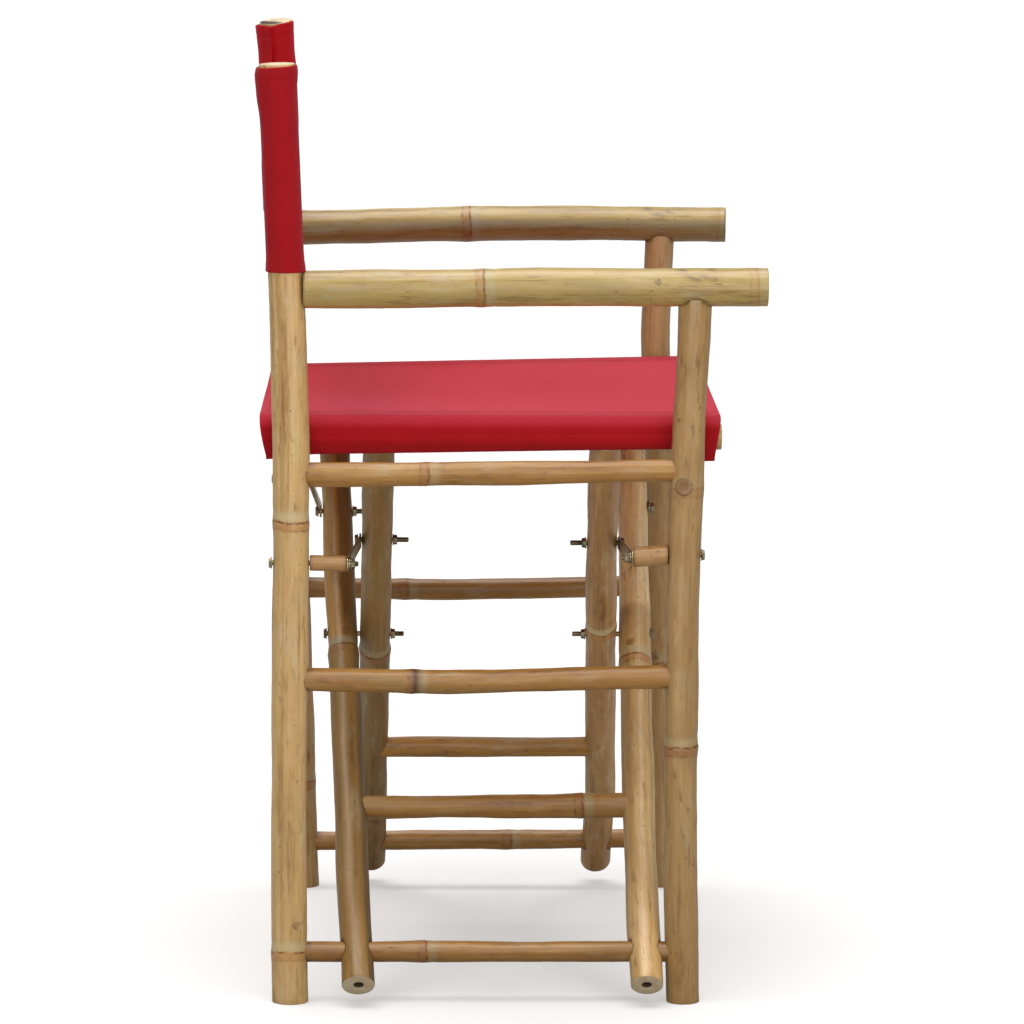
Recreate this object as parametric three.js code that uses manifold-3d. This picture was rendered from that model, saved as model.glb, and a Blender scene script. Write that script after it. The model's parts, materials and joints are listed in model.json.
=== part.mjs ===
// Folding director chair: bamboo side frames on a crossed leg frame, canvas seat and backrest.
// Millimetres. The sitter faces +X, +Y is the sitter's left, +Z is up.
// The origin is on the floor, below the middle of the chair's box.
import * as THREE from "three";
import { mergeVertices } from "three/addons/utils/BufferGeometryUtils.js";
import Module from "manifold-3d";

const wasm = await Module();
wasm.setup();

// Driving dimensions. Distances along X count from the middle between the post feet.
const HEIGHT = 880;
const MIDDLE_X = 13.49; // the middle of the chair's box, seen from the middle between the feet
const SIDE_Y = 270; // each side frame stands this far from the middle
const AXLE_Z = 47.5; // the bottom rails, which the legs turn on
const CROSS_Z = 305; // the pivots where the legs cross
const AXLE_R = 9.75;
const SEAT_DROP = 45; // how much shorter a leg's upper half is than its lower half, to its seat rail
const LEG_TAIL = 38; // a leg's length below its axle
const LEG_SHORT = 3; // a leg's top ends this far below its seat rail's middle
const GAP = 0.3; // clearance between pieces that touch
const SLIP = 0.2; // clearance between a link and what clamps it
const AXLE_SLACK = 0.8; // clearance round an axle in its leg
const TENON = 8; // how deep a rail's end sits in the pole that holds it
const BOLT_R = 2.6;
const BOLT_HOLE_R = 3.1;
const NUT_LONG = 4.4;
const HEAD_LONG = 3.2;
const WASHER_R = 7.2;
const WASHER_THICK = 1.2;
const LINK_THICK = 2;
const LINK_WIDE = 12;
const LINK_BEND = [0.08, 0.92]; // the sideways step of a link, as shares of its length

// The fold: leg frame A turns FOLD against leg frame B, and each side frame follows at FOLLOW times
// that, so that it leans out by a little as the chair closes and the seat rails pass inside it.
const FOLD = THREE.MathUtils.degToRad(70);
const FOLLOW = 0.468;

// Leg geometry that follows from those.
const HALF_LEG = Math.hypot(SIDE_Y, CROSS_Z - AXLE_Z); // axle to crossing
const LEG_ANGLE = Math.atan2(SIDE_Y, CROSS_Z - AXLE_Z); // a leg's lean from upright
const SEAT_RAIL_AT = 2 * HALF_LEG - SEAT_DROP; // axle to seat rail, along the leg

// Section sides.
const POLE_SIDES = 16;
const RAIL_SIDES = 14;
const BOLT_SIDES = 10;
const AXLE_HOLE_SIDES = 20;
const SLEEVE_SIDES = 24;

// How far a drill runs past the pole that it cuts, from the pole's middle and from its flank.
const DRILL_REACH = 25;
const DRILL_PAST = 5;

// One material for each kind of surface.
const finish = (color, roughness, metalness = 0) =>
  new THREE.MeshStandardMaterial({ color, roughness, metalness });
const PALE = finish(0xc9a873, 0.5);
const BROWN = finish(0x9a7547, 0.55);
const ORANGE = finish(0xb98a52, 0.5);
const CANVAS = finish(0xb01c2e, 0.9);
const METAL = finish(0xb9a878, 0.35, 0.9);

// Poles. Each has stations [z, x, radius] along its own Z: its centre's sideways place and its radius.
const REAR_POST = {
  near: [[0, -189.4, 17.1], [100, -190.8, 16.8], [230, -191, 16.7], [340, -190, 17], [460, -189.2, 17.3],
    [540, -189.6, 17.3], [640, -192.6, 17.1], [700, -195.2, 16.5], [HEIGHT, -203.2, 16.4]],
  far: [[0, -177.4, 16.2], [380, -189.6, 16], [570, -194, 16.2], [700, -199, 16.4], [HEIGHT, -207.2, 16.4]],
};
const FRONT_POST = {
  near: [[0, 180.2, 15.9], [90, 177.1, 15.7], [240, 175.8, 15.4], [390, 176.5, 15.3], [540, 179.9, 15.5],
    [676, 186.1, 15.2]],
  far: [[0, 188, 14.4], [430, 182.1, 14.4], [480, 180.5, 14.4], [555, 176.2, 14.5], [600, 177.3, 14.4],
    [677, 180.3, 14.4]],
};
// Where the bamboo's joints swell, as heights up the posts.
const REAR_KNOTS = { near: [49, 454], far: [110, 630] };
const FRONT_KNOTS = { near: [245, 490], far: [232, 520] };

// Poles that run from rear to front, as [rear x, front x, rear z, front z, radius, knots, bow], where bow
// lists [x, how far the pole rises there above the straight line between its ends].
const ARMREST = {
  near: [-179.6, 252, 672.5, 676, 17.8, [-10], [[60, 1.5]]],
  far: [-181.4, 246, 673, 677, 17.4, [-10], [[15, 3.4], [140, 2.4]]],
};
// The same for the rails, whose x the posts give: [rear z, front z, radius, knots, bow].
const UPPER_RAIL = { near: [499.5, 503.5, 11.2, [-62], [[-60, -1]]], far: [500, 502, 11.2, [40], []] };
const MIDDLE_RAIL = {
  near: [307, 310.3, 11, [-73], [[-50, -3.9], [75, -2.1]]],
  far: [307, 310, 10.6, [-73], [[-20, -3.5], [75, -2.2]]],
};
const BOTTOM_RAIL = { near: [AXLE_Z, AXLE_Z, AXLE_R, [-62], []], far: [AXLE_Z, AXLE_Z, AXLE_R, [30], []] };

// Legs as stations [z, x, radius] along the leg from its axle, the x and radius of its top, and its knots.
// Rungs as [place along the leg, radius, knots]. Seat rails as [rear x, front x, radius, how much lower
// than SEAT_RAIL_AT the rear end sits, and the front end].
// Leg frame B is the outer pair, from the near axle up to the far seat rail. A is the inner pair.
const LEGS = {
  B: {
    rear: {
      stations: [[-LEG_TAIL, -125.3, 15.7], [50, -129.4, 15.4], [340, -138, 14.9], [400, -141.1, 14.9]],
      top: [-149.2, 14.7],
      knots: [350, 610],
    },
    front: {
      stations: [[-LEG_TAIL, 144.6, 15.6], [60, 142.8, 15.5], [150, 142.7, 15.5], [300, 143.9, 15.5],
        [420, 145.8, 15.2], [540, 147.6, 14.3]],
      top: [147.4, 14.2],
      knots: [338, 600],
    },
    rung: [169, 10.8, [84]],
    seat: [-206, 211, 12, 14, 0],
  },
  A: {
    rear: {
      stations: [[-LEG_TAIL, -108, 14.5], [HALF_LEG, -107.8, 14.6]],
      top: [-107.7, 14.6],
      knots: [130, 351],
    },
    front: {
      stations: [[-LEG_TAIL, 121.6, 15], [90, 121.9, 15], [240, 116.2, 14.9], [500, 107.8, 14.7]],
      top: [104, 14.6],
      knots: [110, 390],
    },
    rung: [178, 8.8, []],
    seat: [-206, 212.5, 12, 0, 0],
  },
};

// Post bolts, one for each link: the height of the hole in the post, and the link's place along X
// where it leaves the post and where it meets the leg. A spacer tube fills a wide gap beside the post.
const LINKS = {
  near: {
    rear: { post: 418.5, x: -135.1, legX: -127.5, outward: -1, spacerR: 7.4 },
    front: { post: 425.5, x: 126.8, legX: 126.8, outward: 1, spacerR: 9.6 },
  },
  far: {
    rear: { post: 418.5, x: -171.3, legX: -164.8, outward: -1 },
    front: { post: 425.5, x: 164.8, legX: 167, outward: 1 },
  },
};
const BOLT_TAIL = 3; // a post bolt's thread past its nut
const LEG_BOLT_TAIL = 11; // a leg bolt's thread past its nut
const CROSS_BOLT_TAIL = 8.5; // a crossing bolt's thread past its nut

// Canvas.
const SEAT = { rear: -216, front: 209, top: 552, thick: 3, skirt: 2, hem: 515, outerY: 252.2, crown: 6 };
const BACK = {
  bottom: 691, top: 871, sleeveR: 19.2, panel: 3, x: { near: -198.9, far: -202.4 }, lean: -0.038,
};

// Joins and cuts.
function solidOf(mesh) {
  mesh.updateWorldMatrix(true, false);
  const plain = new THREE.BufferGeometry();
  const source = mesh.geometry.index ? mesh.geometry.toNonIndexed() : mesh.geometry;
  plain.setAttribute("position", source.getAttribute("position").clone());
  plain.applyMatrix4(mesh.matrixWorld);
  const merged = mergeVertices(plain, 1e-4);
  const vertProperties = merged.attributes.position.array;
  const triVerts = new Uint32Array(merged.index.array);
  return new wasm.Manifold(new wasm.Mesh({ numProp: 3, vertProperties, triVerts }));
}

function geometryOf(solid, inverse) {
  const made = solid.getMesh();
  const geometry = new THREE.BufferGeometry();
  geometry.setAttribute("position", new THREE.BufferAttribute(new Float32Array(made.vertProperties), 3));
  geometry.setIndex(new THREE.BufferAttribute(new Uint32Array(made.triVerts), 1));
  geometry.applyMatrix4(inverse);
  geometry.computeVertexNormals();
  return geometry;
}

// Replaces a mesh's geometry by itself joined with, cut by, or kept inside the others.
function combine(mesh, how, others) {
  let solid = solidOf(mesh);
  for (const other of others) solid = solid[how](solidOf(other));
  mesh.geometry = geometryOf(solid, mesh.matrixWorld.clone().invert());
  return mesh;
}
const cut = (mesh, ...others) => combine(mesh, "subtract", others);
const join = (mesh, ...others) => combine(mesh, "add", others);
const keepInside = (mesh, ...others) => combine(mesh, "intersect", others);

// A closed pole along Z through its stations, with flat ends.
function poleGeometry(stations, sides) {
  const points = [];
  const faces = [];
  for (const [z, x, radius] of stations) {
    for (let i = 0; i < sides; i++) {
      const angle = (2 * Math.PI * i) / sides;
      points.push(x + radius * Math.cos(angle), radius * Math.sin(angle), z);
    }
  }
  const last = (stations.length - 1) * sides;
  for (let i = 0; i < sides; i++) {
    const next = (i + 1) % sides;
    for (let ring = 0; ring < last; ring += sides) {
      faces.push(ring + i, ring + next, ring + sides + next);
      faces.push(ring + i, ring + sides + next, ring + sides + i);
    }
    if (i > 0 && next > 0) {
      faces.push(0, next, i);
      faces.push(last, last + i, last + next);
    }
  }
  const geometry = new THREE.BufferGeometry();
  geometry.setAttribute("position", new THREE.Float32BufferAttribute(points, 3));
  geometry.setIndex(faces);
  geometry.computeVertexNormals();
  return geometry;
}

// A pole's centre and radius at a height, between its stations.
function poleAt(stations, z) {
  let k = 1;
  while (k < stations.length - 1 && stations[k][0] < z) k++;
  const [z0, x0, r0] = stations[k - 1];
  const [z1, x1, r1] = stations[k];
  const share = (z - z0) / (z1 - z0);
  return { x: x0 + share * (x1 - x0), radius: r0 + share * (r1 - r0) };
}

// The stations with a low swelling at each knot.
const KNOT_HALF = 7;
const KNOT_RISE = 1;
function withKnots(stations, knots) {
  const added = [];
  for (const at of knots) {
    for (const [step, rise] of [[-KNOT_HALF, 0], [0, KNOT_RISE], [KNOT_HALF, 0]]) {
      const { x, radius } = poleAt(stations, at + step);
      added.push([at + step, x, radius + rise]);
    }
  }
  return [...stations, ...added].sort((a, b) => a[0] - b[0]);
}

const chair = new THREE.Group();
chair.name = "director_chair";
const build = new THREE.Group();
build.position.x = -MIDDLE_X;
chair.add(build);

function place(name, geometry, material, parent) {
  const mesh = new THREE.Mesh(geometry, material);
  mesh.name = name;
  parent.add(mesh);
  return mesh;
}

// Stations of a pole that runs from rear to front, `more` longer at each end.
function alongX([x0, x1, z0, z1, radius, , bow = []], more = 0) {
  const line = (x) => THREE.MathUtils.mapLinear(x, x0, x1, z0, z1);
  const spots = [[x0 - more, 0], ...bow, [x1 + more, 0]];
  return spots.map(([x, rise]) => [x, -line(x) - rise, radius]);
}

// A pole along X of its parent; its knots count along X.
function crossPole(name, sizes, material, parent, y = 0) {
  const knots = sizes[5];
  const mesh = place(name, poleGeometry(withKnots(alongX(sizes), knots), RAIL_SIDES), material, parent);
  mesh.rotation.y = Math.PI / 2;
  mesh.position.y = y;
  return mesh;
}

// Shapes that are only joined or cut with. They leave the chair again at the end.
const tools = [];
function tool(geometry, parent, z = 0) {
  const mesh = new THREE.Mesh(geometry);
  mesh.position.z = z;
  parent.add(mesh);
  tools.push(mesh);
  return mesh;
}

// A disc or rod along X, between two places.
function disc(radius, x0, x1, sides) {
  const geometry = new THREE.CylinderGeometry(radius, radius, Math.abs(x1 - x0), sides);
  geometry.rotateZ(Math.PI / 2);
  geometry.translate((x0 + x1) / 2, 0, 0);
  return geometry;
}

// A round hole along X.
const drill = (x0, x1, radius, parent, z, sides = BOLT_SIDES) => tool(disc(radius, x0, x1, sides), parent, z);

// A pole grown by the clearance, set like another mesh.
function grown(stations, parent, sides, like) {
  const wide = stations.map(([z, x, radius]) => [z, x, (radius + GAP) / Math.cos(Math.PI / sides)]);
  const mesh = tool(poleGeometry(wide, sides), parent);
  if (like) {
    mesh.position.copy(like.position);
    mesh.rotation.copy(like.rotation);
  }
  return mesh;
}

// A flanged hexagon bolt along X with its head's underside at `from`, and the nut that closes it.
const FLANGE_R = 5.8;
const FLANGE_THICK = 1;
const HEX_R = 4.6;
const FLANGE_SIDES = 14;

function bolt(name, parent, z, from, to) {
  const way = Math.sign(to - from);
  const mesh = place(name, disc(HEX_R, from - way * HEAD_LONG, from, 6), METAL, parent);
  mesh.position.z = z;
  const flange = tool(disc(FLANGE_R, from - way * FLANGE_THICK, from, FLANGE_SIDES), parent, z);
  const shank = tool(disc(BOLT_R, from - way * FLANGE_THICK, to, BOLT_SIDES), parent, z);
  return join(mesh, flange, shank);
}

function nut(name, parent, z, from, way) {
  const mesh = place(name, disc(HEX_R, from, from + way * NUT_LONG, 6), METAL, parent);
  mesh.position.z = z;
  join(mesh, tool(disc(FLANGE_R, from, from + way * FLANGE_THICK, FLANGE_SIDES), parent, z));
  return cut(mesh, drill(from - way, from + way * (NUT_LONG + 1), BOLT_HOLE_R, parent, z));
}

function ring(name, parent, z, x0, x1, outer, material) {
  const mesh = place(name, disc(outer, x0, x1, RAIL_SIDES), material, parent);
  mesh.position.z = z;
  return cut(mesh, drill(Math.min(x0, x1) - 1, Math.max(x0, x1) + 1, BOLT_HOLE_R, parent, z));
}

// Where a link's bolt sits on its leg. Seen along X, the link turns on the post's bolt at height
// `post`. Its far end meets the leg's bolt both when the chair is open and when it is folded.
function linkage(post) {
  const height = post - AXLE_Z;
  const at = (fold) => {
    const lean = LEG_ANGLE - FOLLOW * fold;
    const other = 2 * (LEG_ANGLE - fold / 2) - lean;
    return {
      cross: new THREE.Vector2(HALF_LEG * Math.sin(lean), HALF_LEG * Math.cos(lean) - height),
      up: new THREE.Vector2(-Math.sin(other), Math.cos(other)),
    };
  };
  const open = at(0);
  const shut = at(FOLD);
  const grows = shut.cross.lengthSq() - open.cross.lengthSq();
  const above = grows / (2 * (open.up.dot(open.cross) - shut.up.dot(shut.cross)));
  const end = open.cross.clone().addScaledVector(open.up, above);
  const folded = shut.cross.clone().addScaledVector(shut.up, above);
  return { above, length: end.length(), slope: end.angle(), turn: folded.angle() - end.angle() };
}

// Turns an outline drawn in XY so that it lies in YZ and its depth runs along X.
const X_AXIS = new THREE.Vector3(1, 0, 0);
const Y_AXIS = new THREE.Vector3(0, 1, 0);
const Z_AXIS = new THREE.Vector3(0, 0, 1);
const LIE_ACROSS = new THREE.Matrix4().makeBasis(Y_AXIS, Z_AXIS, X_AXIS);

// A flat link with round ends and a hole at each, stepped sideways along its middle.
function linkGeometry(length, step) {
  const half = LINK_WIDE / 2;
  const outline = new THREE.Shape();
  outline.absarc(0, 0, half, Math.PI / 2, (3 * Math.PI) / 2, false);
  outline.absarc(length, 0, half, -Math.PI / 2, Math.PI / 2, false);
  for (const at of [0, length]) {
    const hole = new THREE.Path();
    hole.absarc(at, 0, BOLT_HOLE_R, 0, 2 * Math.PI, true);
    outline.holes.push(hole);
  }
  const reach = Math.abs(step) + LINK_THICK;
  const plate = new THREE.ExtrudeGeometry(outline, {
    depth: 2 * reach, bevelEnabled: false, curveSegments: 8,
  });
  plate.translate(0, 0, -reach);
  const side = new THREE.Shape();
  const [bendFrom, bendTo] = LINK_BEND.map((share) => share * length);
  const bend = [[-LINK_WIDE, 0], [bendFrom, 0], [bendTo, step], [length + LINK_WIDE, step]];
  side.setFromPoints([
    ...bend.map(([along, out]) => new THREE.Vector2(along, out - LINK_THICK / 2)),
    ...bend.map(([along, out]) => new THREE.Vector2(along, out + LINK_THICK / 2)).reverse(),
  ]);
  const band = new THREE.ExtrudeGeometry(side, { depth: 2 * LINK_WIDE, bevelEnabled: false });
  band.translate(0, 0, -LINK_WIDE);
  plate.applyMatrix4(LIE_ACROSS);
  band.applyMatrix4(new THREE.Matrix4().makeBasis(Y_AXIS, X_AXIS, Z_AXIS.clone().negate()));
  return [plate, band];
}

// Side frames.
function sideFrame(side) {
  const sign = side === "near" ? -1 : 1;
  const frame = new THREE.Group();
  frame.position.y = sign * SIDE_Y;
  build.add(frame);
  const rearStations = REAR_POST[side];
  const frontStations = FRONT_POST[side];
  const rearPost = place(
    `${side}_rear_post`, poleGeometry(withKnots(rearStations, REAR_KNOTS[side]), POLE_SIDES), PALE, frame);
  const frontPost = place(
    `${side}_front_post`, poleGeometry(withKnots(frontStations, FRONT_KNOTS[side]), POLE_SIDES), PALE, frame);

  const [armRear, , armZ0, , armR] = ARMREST[side];
  const armPeg = armR / 2;
  const armrest = crossPole(`${side}_armrest`, ARMREST[side], PALE, frame);
  const peg = crossPole("peg", [armRear - TENON, armRear + TENON, armZ0, armZ0, armPeg, []], PALE, frame);
  tools.push(peg);
  cut(armrest, grown(rearStations, frame, POLE_SIDES));
  join(armrest, peg);
  const pegStations = [[armRear - TENON - GAP, -armZ0, armPeg], [armRear + TENON, -armZ0, armPeg]];
  cut(rearPost, grown(pegStations, frame, RAIL_SIDES, peg));
  cut(frontPost, grown(alongX(ARMREST[side]), frame, RAIL_SIDES, armrest));

  for (const [kind, sizes] of [["upper", UPPER_RAIL], ["middle", MIDDLE_RAIL], ["bottom", BOTTOM_RAIL]]) {
    const [z0, z1, ...others] = sizes[side];
    const rear = poleAt(rearStations, z0);
    const front = poleAt(frontStations, z1);
    const x0 = rear.x + rear.radius - TENON;
    const x1 = front.x - front.radius + TENON;
    const whole = [x0, x1, z0, z1, ...others];
    const rail = crossPole(`${side}_${kind}_rail`, whole, ORANGE, frame);
    const tool = grown(alongX(whole, GAP), frame, RAIL_SIDES, rail);
    cut(rearPost, tool);
    cut(frontPost, tool);
  }

  const posts = { rear: [rearPost, rearStations], front: [frontPost, frontStations] };
  for (const [end, [post, stations]] of Object.entries(posts)) {
    const { post: z, x, legX, outward, spacerR } = LINKS[side][end];
    const { x: postX, radius } = poleAt(stations, z);
    const name = `${side}_${end}`;
    const flank = postX + outward * radius; // the post's outer flank
    const face = postX - outward * radius; // its flank towards the link
    cut(post, drill(flank + outward * DRILL_PAST, face - outward * DRILL_PAST, BOLT_HOLE_R, frame, z));
    const washerAt = x + outward * (LINK_THICK / 2 + SLIP + WASHER_THICK);
    ring(`${name}_post_washer`, frame, z, washerAt, washerAt - outward * WASHER_THICK, WASHER_R, METAL);
    if (spacerR) {
      ring(`${name}_spacer`, frame, z, face - outward * GAP, washerAt + outward * GAP, spacerR, ORANGE);
    }
    const nutAt = x - outward * (LINK_THICK / 2 + SLIP);
    nut(`${name}_post_nut`, frame, z, nutAt, -outward);
    bolt(`${name}_post_bolt`, frame, z, flank + outward * GAP, nutAt - outward * (NUT_LONG + BOLT_TAIL));

    // The link runs along Y of its own turned frame, and its thickness is along the chair's X.
    const { length, slope } = linkage(z);
    const pivot = new THREE.Group();
    pivot.position.set(x, 0, z);
    pivot.rotation.x = sign < 0 ? slope : Math.PI - slope;
    frame.add(pivot);
    const [plate, band] = linkGeometry(length, legX - x);
    keepInside(place(`${name}_link`, plate, METAL, pivot), tool(band, pivot));
  }
}

// Leg frames. Z of the group runs up along the legs from their axle.
function legFrame(letter) {
  const { rear, front, rung, seat } = LEGS[letter];
  const sign = letter === "B" ? -1 : 1;
  const name = letter.toLowerCase();
  const frame = new THREE.Group();
  frame.position.set(0, sign * SIDE_Y, AXLE_Z);
  frame.rotation.x = sign * LEG_ANGLE;
  build.add(frame);
  const [seatRear, seatFront, seatR, dropRear, dropFront] = seat;
  const railZ = [SEAT_RAIL_AT - dropRear, SEAT_RAIL_AT - dropFront];

  const stationsOf = ({ stations, top: [x, radius] }) => {
    const share = (x - seatRear) / (seatFront - seatRear);
    return [...stations, [THREE.MathUtils.lerp(...railZ, share) - LEG_SHORT, x, radius]];
  };
  const stations = { rear: stationsOf(rear), front: stationsOf(front) };
  const legOf = (end, knots) => {
    const geometry = poleGeometry(withKnots(stations[end], knots), POLE_SIDES);
    return place(`leg_${name}_${end}`, geometry, BROWN, frame);
  };
  const legs = { rear: legOf("rear", rear.knots), front: legOf("front", front.knots) };

  const seatSizes = [seatRear, seatFront, ...railZ, seatR, []];
  const seatRail = crossPole(`seat_rail_${name}`, seatSizes, ORANGE, frame);
  const [rungAt, rungR, rungKnots] = rung;
  const legRear = poleAt(stations.rear, rungAt);
  const legFront = poleAt(stations.front, rungAt);
  const x0 = legRear.x + legRear.radius - TENON;
  const x1 = legFront.x - legFront.radius + TENON;
  const rungSizes = [x0, x1, rungAt, rungAt, rungR, rungKnots];
  const rungPole = crossPole(`rung_${name}`, rungSizes, ORANGE, frame);
  const rungTool = grown(alongX(rungSizes, GAP), frame, RAIL_SIDES, rungPole);
  const seatTool = grown(alongX(seatSizes), frame, RAIL_SIDES, seatRail);
  for (const end of ["rear", "front"]) {
    const leg = legs[end];
    const low = poleAt(stations[end], 0);
    const mid = poleAt(stations[end], HALF_LEG);
    cut(leg, rungTool, seatTool);
    const crossHoleR = BOLT_HOLE_R + SLIP;
    cut(leg, drill(low.x - DRILL_REACH, low.x + DRILL_REACH, AXLE_R + AXLE_SLACK, frame, 0, AXLE_HOLE_SIDES));
    cut(leg, drill(mid.x - DRILL_REACH, mid.x + DRILL_REACH, crossHoleR, frame, HALF_LEG, POLE_SIDES));
  }
  return { frame, legs, stations };
}

// The bolts through the crossing, held by leg frame B, and the bolts that the links meet.
function legBolts(a, b) {
  for (const end of ["rear", "front"]) {
    const outward = end === "rear" ? -1 : 1;
    const outer = poleAt(b.stations[end], HALF_LEG);
    const inner = poleAt(a.stations[end], HALF_LEG);
    const from = outer.x + outward * (outer.radius + GAP);
    const nutAt = inner.x - outward * (inner.radius + GAP);
    bolt(`cross_${end}_bolt`, b.frame, HALF_LEG, from, nutAt - outward * (NUT_LONG + CROSS_BOLT_TAIL));
    nut(`cross_${end}_nut`, b.frame, HALF_LEG, nutAt, -outward);
    for (const [side, own] of [["near", a], ["far", b]]) {
      const z = HALF_LEG + linkage(LINKS[side][end].post).above;
      const leg = poleAt(own.stations[end], z);
      const head = leg.x + outward * (leg.radius + GAP);
      const back = leg.x - outward * (leg.radius + GAP);
      cut(own.legs[end], drill(leg.x - DRILL_REACH, leg.x + DRILL_REACH, BOLT_HOLE_R, own.frame, z));
      bolt(`${side}_${end}_leg_bolt`, own.frame, z, head, back - outward * (NUT_LONG + LEG_BOLT_TAIL));
      nut(`${side}_${end}_leg_nut`, own.frame, z, back, -outward);
    }
  }
}

// Canvas seat: a flat top between the rails with a skirt outside each rail.
function seatCanvas() {
  const { rear, front, top, thick, skirt, hem, outerY, crown } = SEAT;
  const outline = new THREE.Shape();
  outline.moveTo(-outerY, hem);
  outline.lineTo(-outerY, top - crown);
  outline.quadraticCurveTo(-outerY, top, -outerY + crown, top);
  outline.lineTo(outerY - crown, top);
  outline.quadraticCurveTo(outerY, top, outerY, top - crown);
  outline.lineTo(outerY, hem);
  outline.lineTo(outerY - skirt, hem);
  outline.lineTo(outerY - skirt, top - crown);
  outline.quadraticCurveTo(outerY - skirt, top - thick, outerY - crown, top - thick);
  outline.lineTo(-outerY + crown, top - thick);
  outline.quadraticCurveTo(-outerY + skirt, top - thick, -outerY + skirt, top - crown);
  outline.lineTo(-outerY + skirt, hem);
  const geometry = new THREE.ExtrudeGeometry(outline, {
    depth: front - rear, bevelEnabled: false, curveSegments: 4,
  });
  geometry.applyMatrix4(LIE_ACROSS);
  const mesh = place("seat_canvas", geometry, CANVAS, build);
  mesh.position.x = rear;
  return mesh;
}

// Canvas backrest: a sleeve around each rear post and a panel between them, leaning with the posts.
function backCanvas() {
  const { bottom, top, sleeveR, panel, x, lean } = BACK;
  const high = top - bottom;
  const middle = (top + bottom) / 2;
  const shear = new THREE.Matrix4().set(1, 0, lean, 0, 0, 1, 0, 0, 0, 0, 1, 0, 0, 0, 0, 1);
  const between = new THREE.BoxGeometry(panel, 2 * SIDE_Y, high);
  between.rotateZ(-Math.atan2(x.far - x.near, 2 * SIDE_Y));
  between.translate((x.near + x.far) / 2, 0, 0);
  const mesh = place("backrest_canvas", between.applyMatrix4(shear), CANVAS, build);
  mesh.position.z = middle;
  for (const [side, y] of [["near", -SIDE_Y], ["far", SIDE_Y]]) {
    const sleeve = new THREE.CylinderGeometry(sleeveR, sleeveR, high, SLEEVE_SIDES);
    sleeve.rotateX(Math.PI / 2);
    sleeve.translate(x[side], y, 0);
    join(mesh, tool(sleeve.applyMatrix4(shear), build, middle));
    const post = grown(REAR_POST[side], build, POLE_SIDES);
    post.position.y = y;
    cut(mesh, post);
  }
  return mesh;
}

sideFrame("near");
sideFrame("far");
const legsA = legFrame("A");
const legsB = legFrame("B");
legBolts(legsA, legsB);
seatCanvas();
backCanvas();
for (const shape of tools) shape.removeFromParent();

export default chair;
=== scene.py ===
"""Looks of the folding bamboo director chair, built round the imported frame. Metres, +Z up.

The sitter faces +X. The near side frame stands at -Y, the far one at +Y.
"""

import json
import math

import bmesh
import bpy
import numpy as np
from mathutils import Matrix, Vector


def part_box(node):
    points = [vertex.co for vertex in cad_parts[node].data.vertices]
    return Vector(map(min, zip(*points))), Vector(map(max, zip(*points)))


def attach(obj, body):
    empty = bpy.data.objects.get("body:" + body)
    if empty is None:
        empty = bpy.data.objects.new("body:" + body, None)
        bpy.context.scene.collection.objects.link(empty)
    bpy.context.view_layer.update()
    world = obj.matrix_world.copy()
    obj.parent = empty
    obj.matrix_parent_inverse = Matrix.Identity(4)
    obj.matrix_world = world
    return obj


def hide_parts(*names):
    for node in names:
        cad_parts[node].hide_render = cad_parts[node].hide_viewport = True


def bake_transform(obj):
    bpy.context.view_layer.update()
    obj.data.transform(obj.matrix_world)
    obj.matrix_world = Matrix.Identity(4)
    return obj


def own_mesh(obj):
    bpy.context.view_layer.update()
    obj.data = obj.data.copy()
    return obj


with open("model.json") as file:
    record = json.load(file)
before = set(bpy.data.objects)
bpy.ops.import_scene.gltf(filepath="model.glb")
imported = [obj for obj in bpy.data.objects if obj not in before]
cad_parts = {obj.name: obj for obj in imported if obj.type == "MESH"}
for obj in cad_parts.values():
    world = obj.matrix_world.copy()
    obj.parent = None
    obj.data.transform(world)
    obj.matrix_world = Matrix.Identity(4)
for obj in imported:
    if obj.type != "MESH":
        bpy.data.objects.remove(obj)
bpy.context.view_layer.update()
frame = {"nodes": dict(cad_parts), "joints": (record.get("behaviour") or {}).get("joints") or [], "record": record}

MM = 0.001
SEED = 64

# The joints give the places that the poles are measured from.
JOINT_AT = {joint["name"]: np.array(joint["pos_m"]) for joint in frame["joints"]}
AXLE = {"b": JOINT_AT["near_foot_pivot"], "a": JOINT_AT["far_foot_pivot"]}
CROSSING = JOINT_AT["fold"]
NEAR_Y, FAR_Y = AXLE["b"][1], AXLE["a"][1]
SIDE_Y = {"near": NEAR_Y, "far": FAR_Y}

# Poles: ring spacing along them, and close to a knot.
RING = 7 * MM
KNOT_RING = 0.75 * MM
KNOT_REACH = 13 * MM
EDGE_ROUND = 0.7 * MM

ROUND_SIDES = 48  # of round metal pieces and of the tools that cut the poles

# Canvas.
CLOTH = 0.9 * MM
HEM = 10 * MM
STITCH_LONG = 2.5 * MM
STITCH_PITCH = 3.6 * MM
STITCH_R = 0.2 * MM
STITCH_SIDES = 6


# ---------------------------------------------------------------- small helpers

def smoothstep(value, low, high):
    share = np.clip((np.asarray(value, float) - low) / (high - low), 0, 1)
    return share * share * (3 - 2 * share)


def lerp(pair, share):
    return pair[0] + (pair[1] - pair[0]) * share


def bell(value, width):
    return np.exp(-((np.asarray(value, float) / width) ** 2))


def unit(vector):
    vector = np.asarray(vector, float)
    return vector / np.linalg.norm(vector)


def between(value, low, high, outside, inside):
    """1 from low to high and 0 beyond, with soft steps that reach outside and inside of them."""
    rise = smoothstep(value, low - outside, low + inside)
    return rise * (1 - smoothstep(value, high - inside, high + outside))


def turn_from(angle, start):
    """The turn from a start to an angle, the short way round."""
    return np.angle(np.exp(1j * (angle - start)))


def box_of(node):
    """The low and high corners of a node and its middle."""
    low, high = (np.array(corner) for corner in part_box(node))
    return low, high, (low + high) / 2


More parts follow.
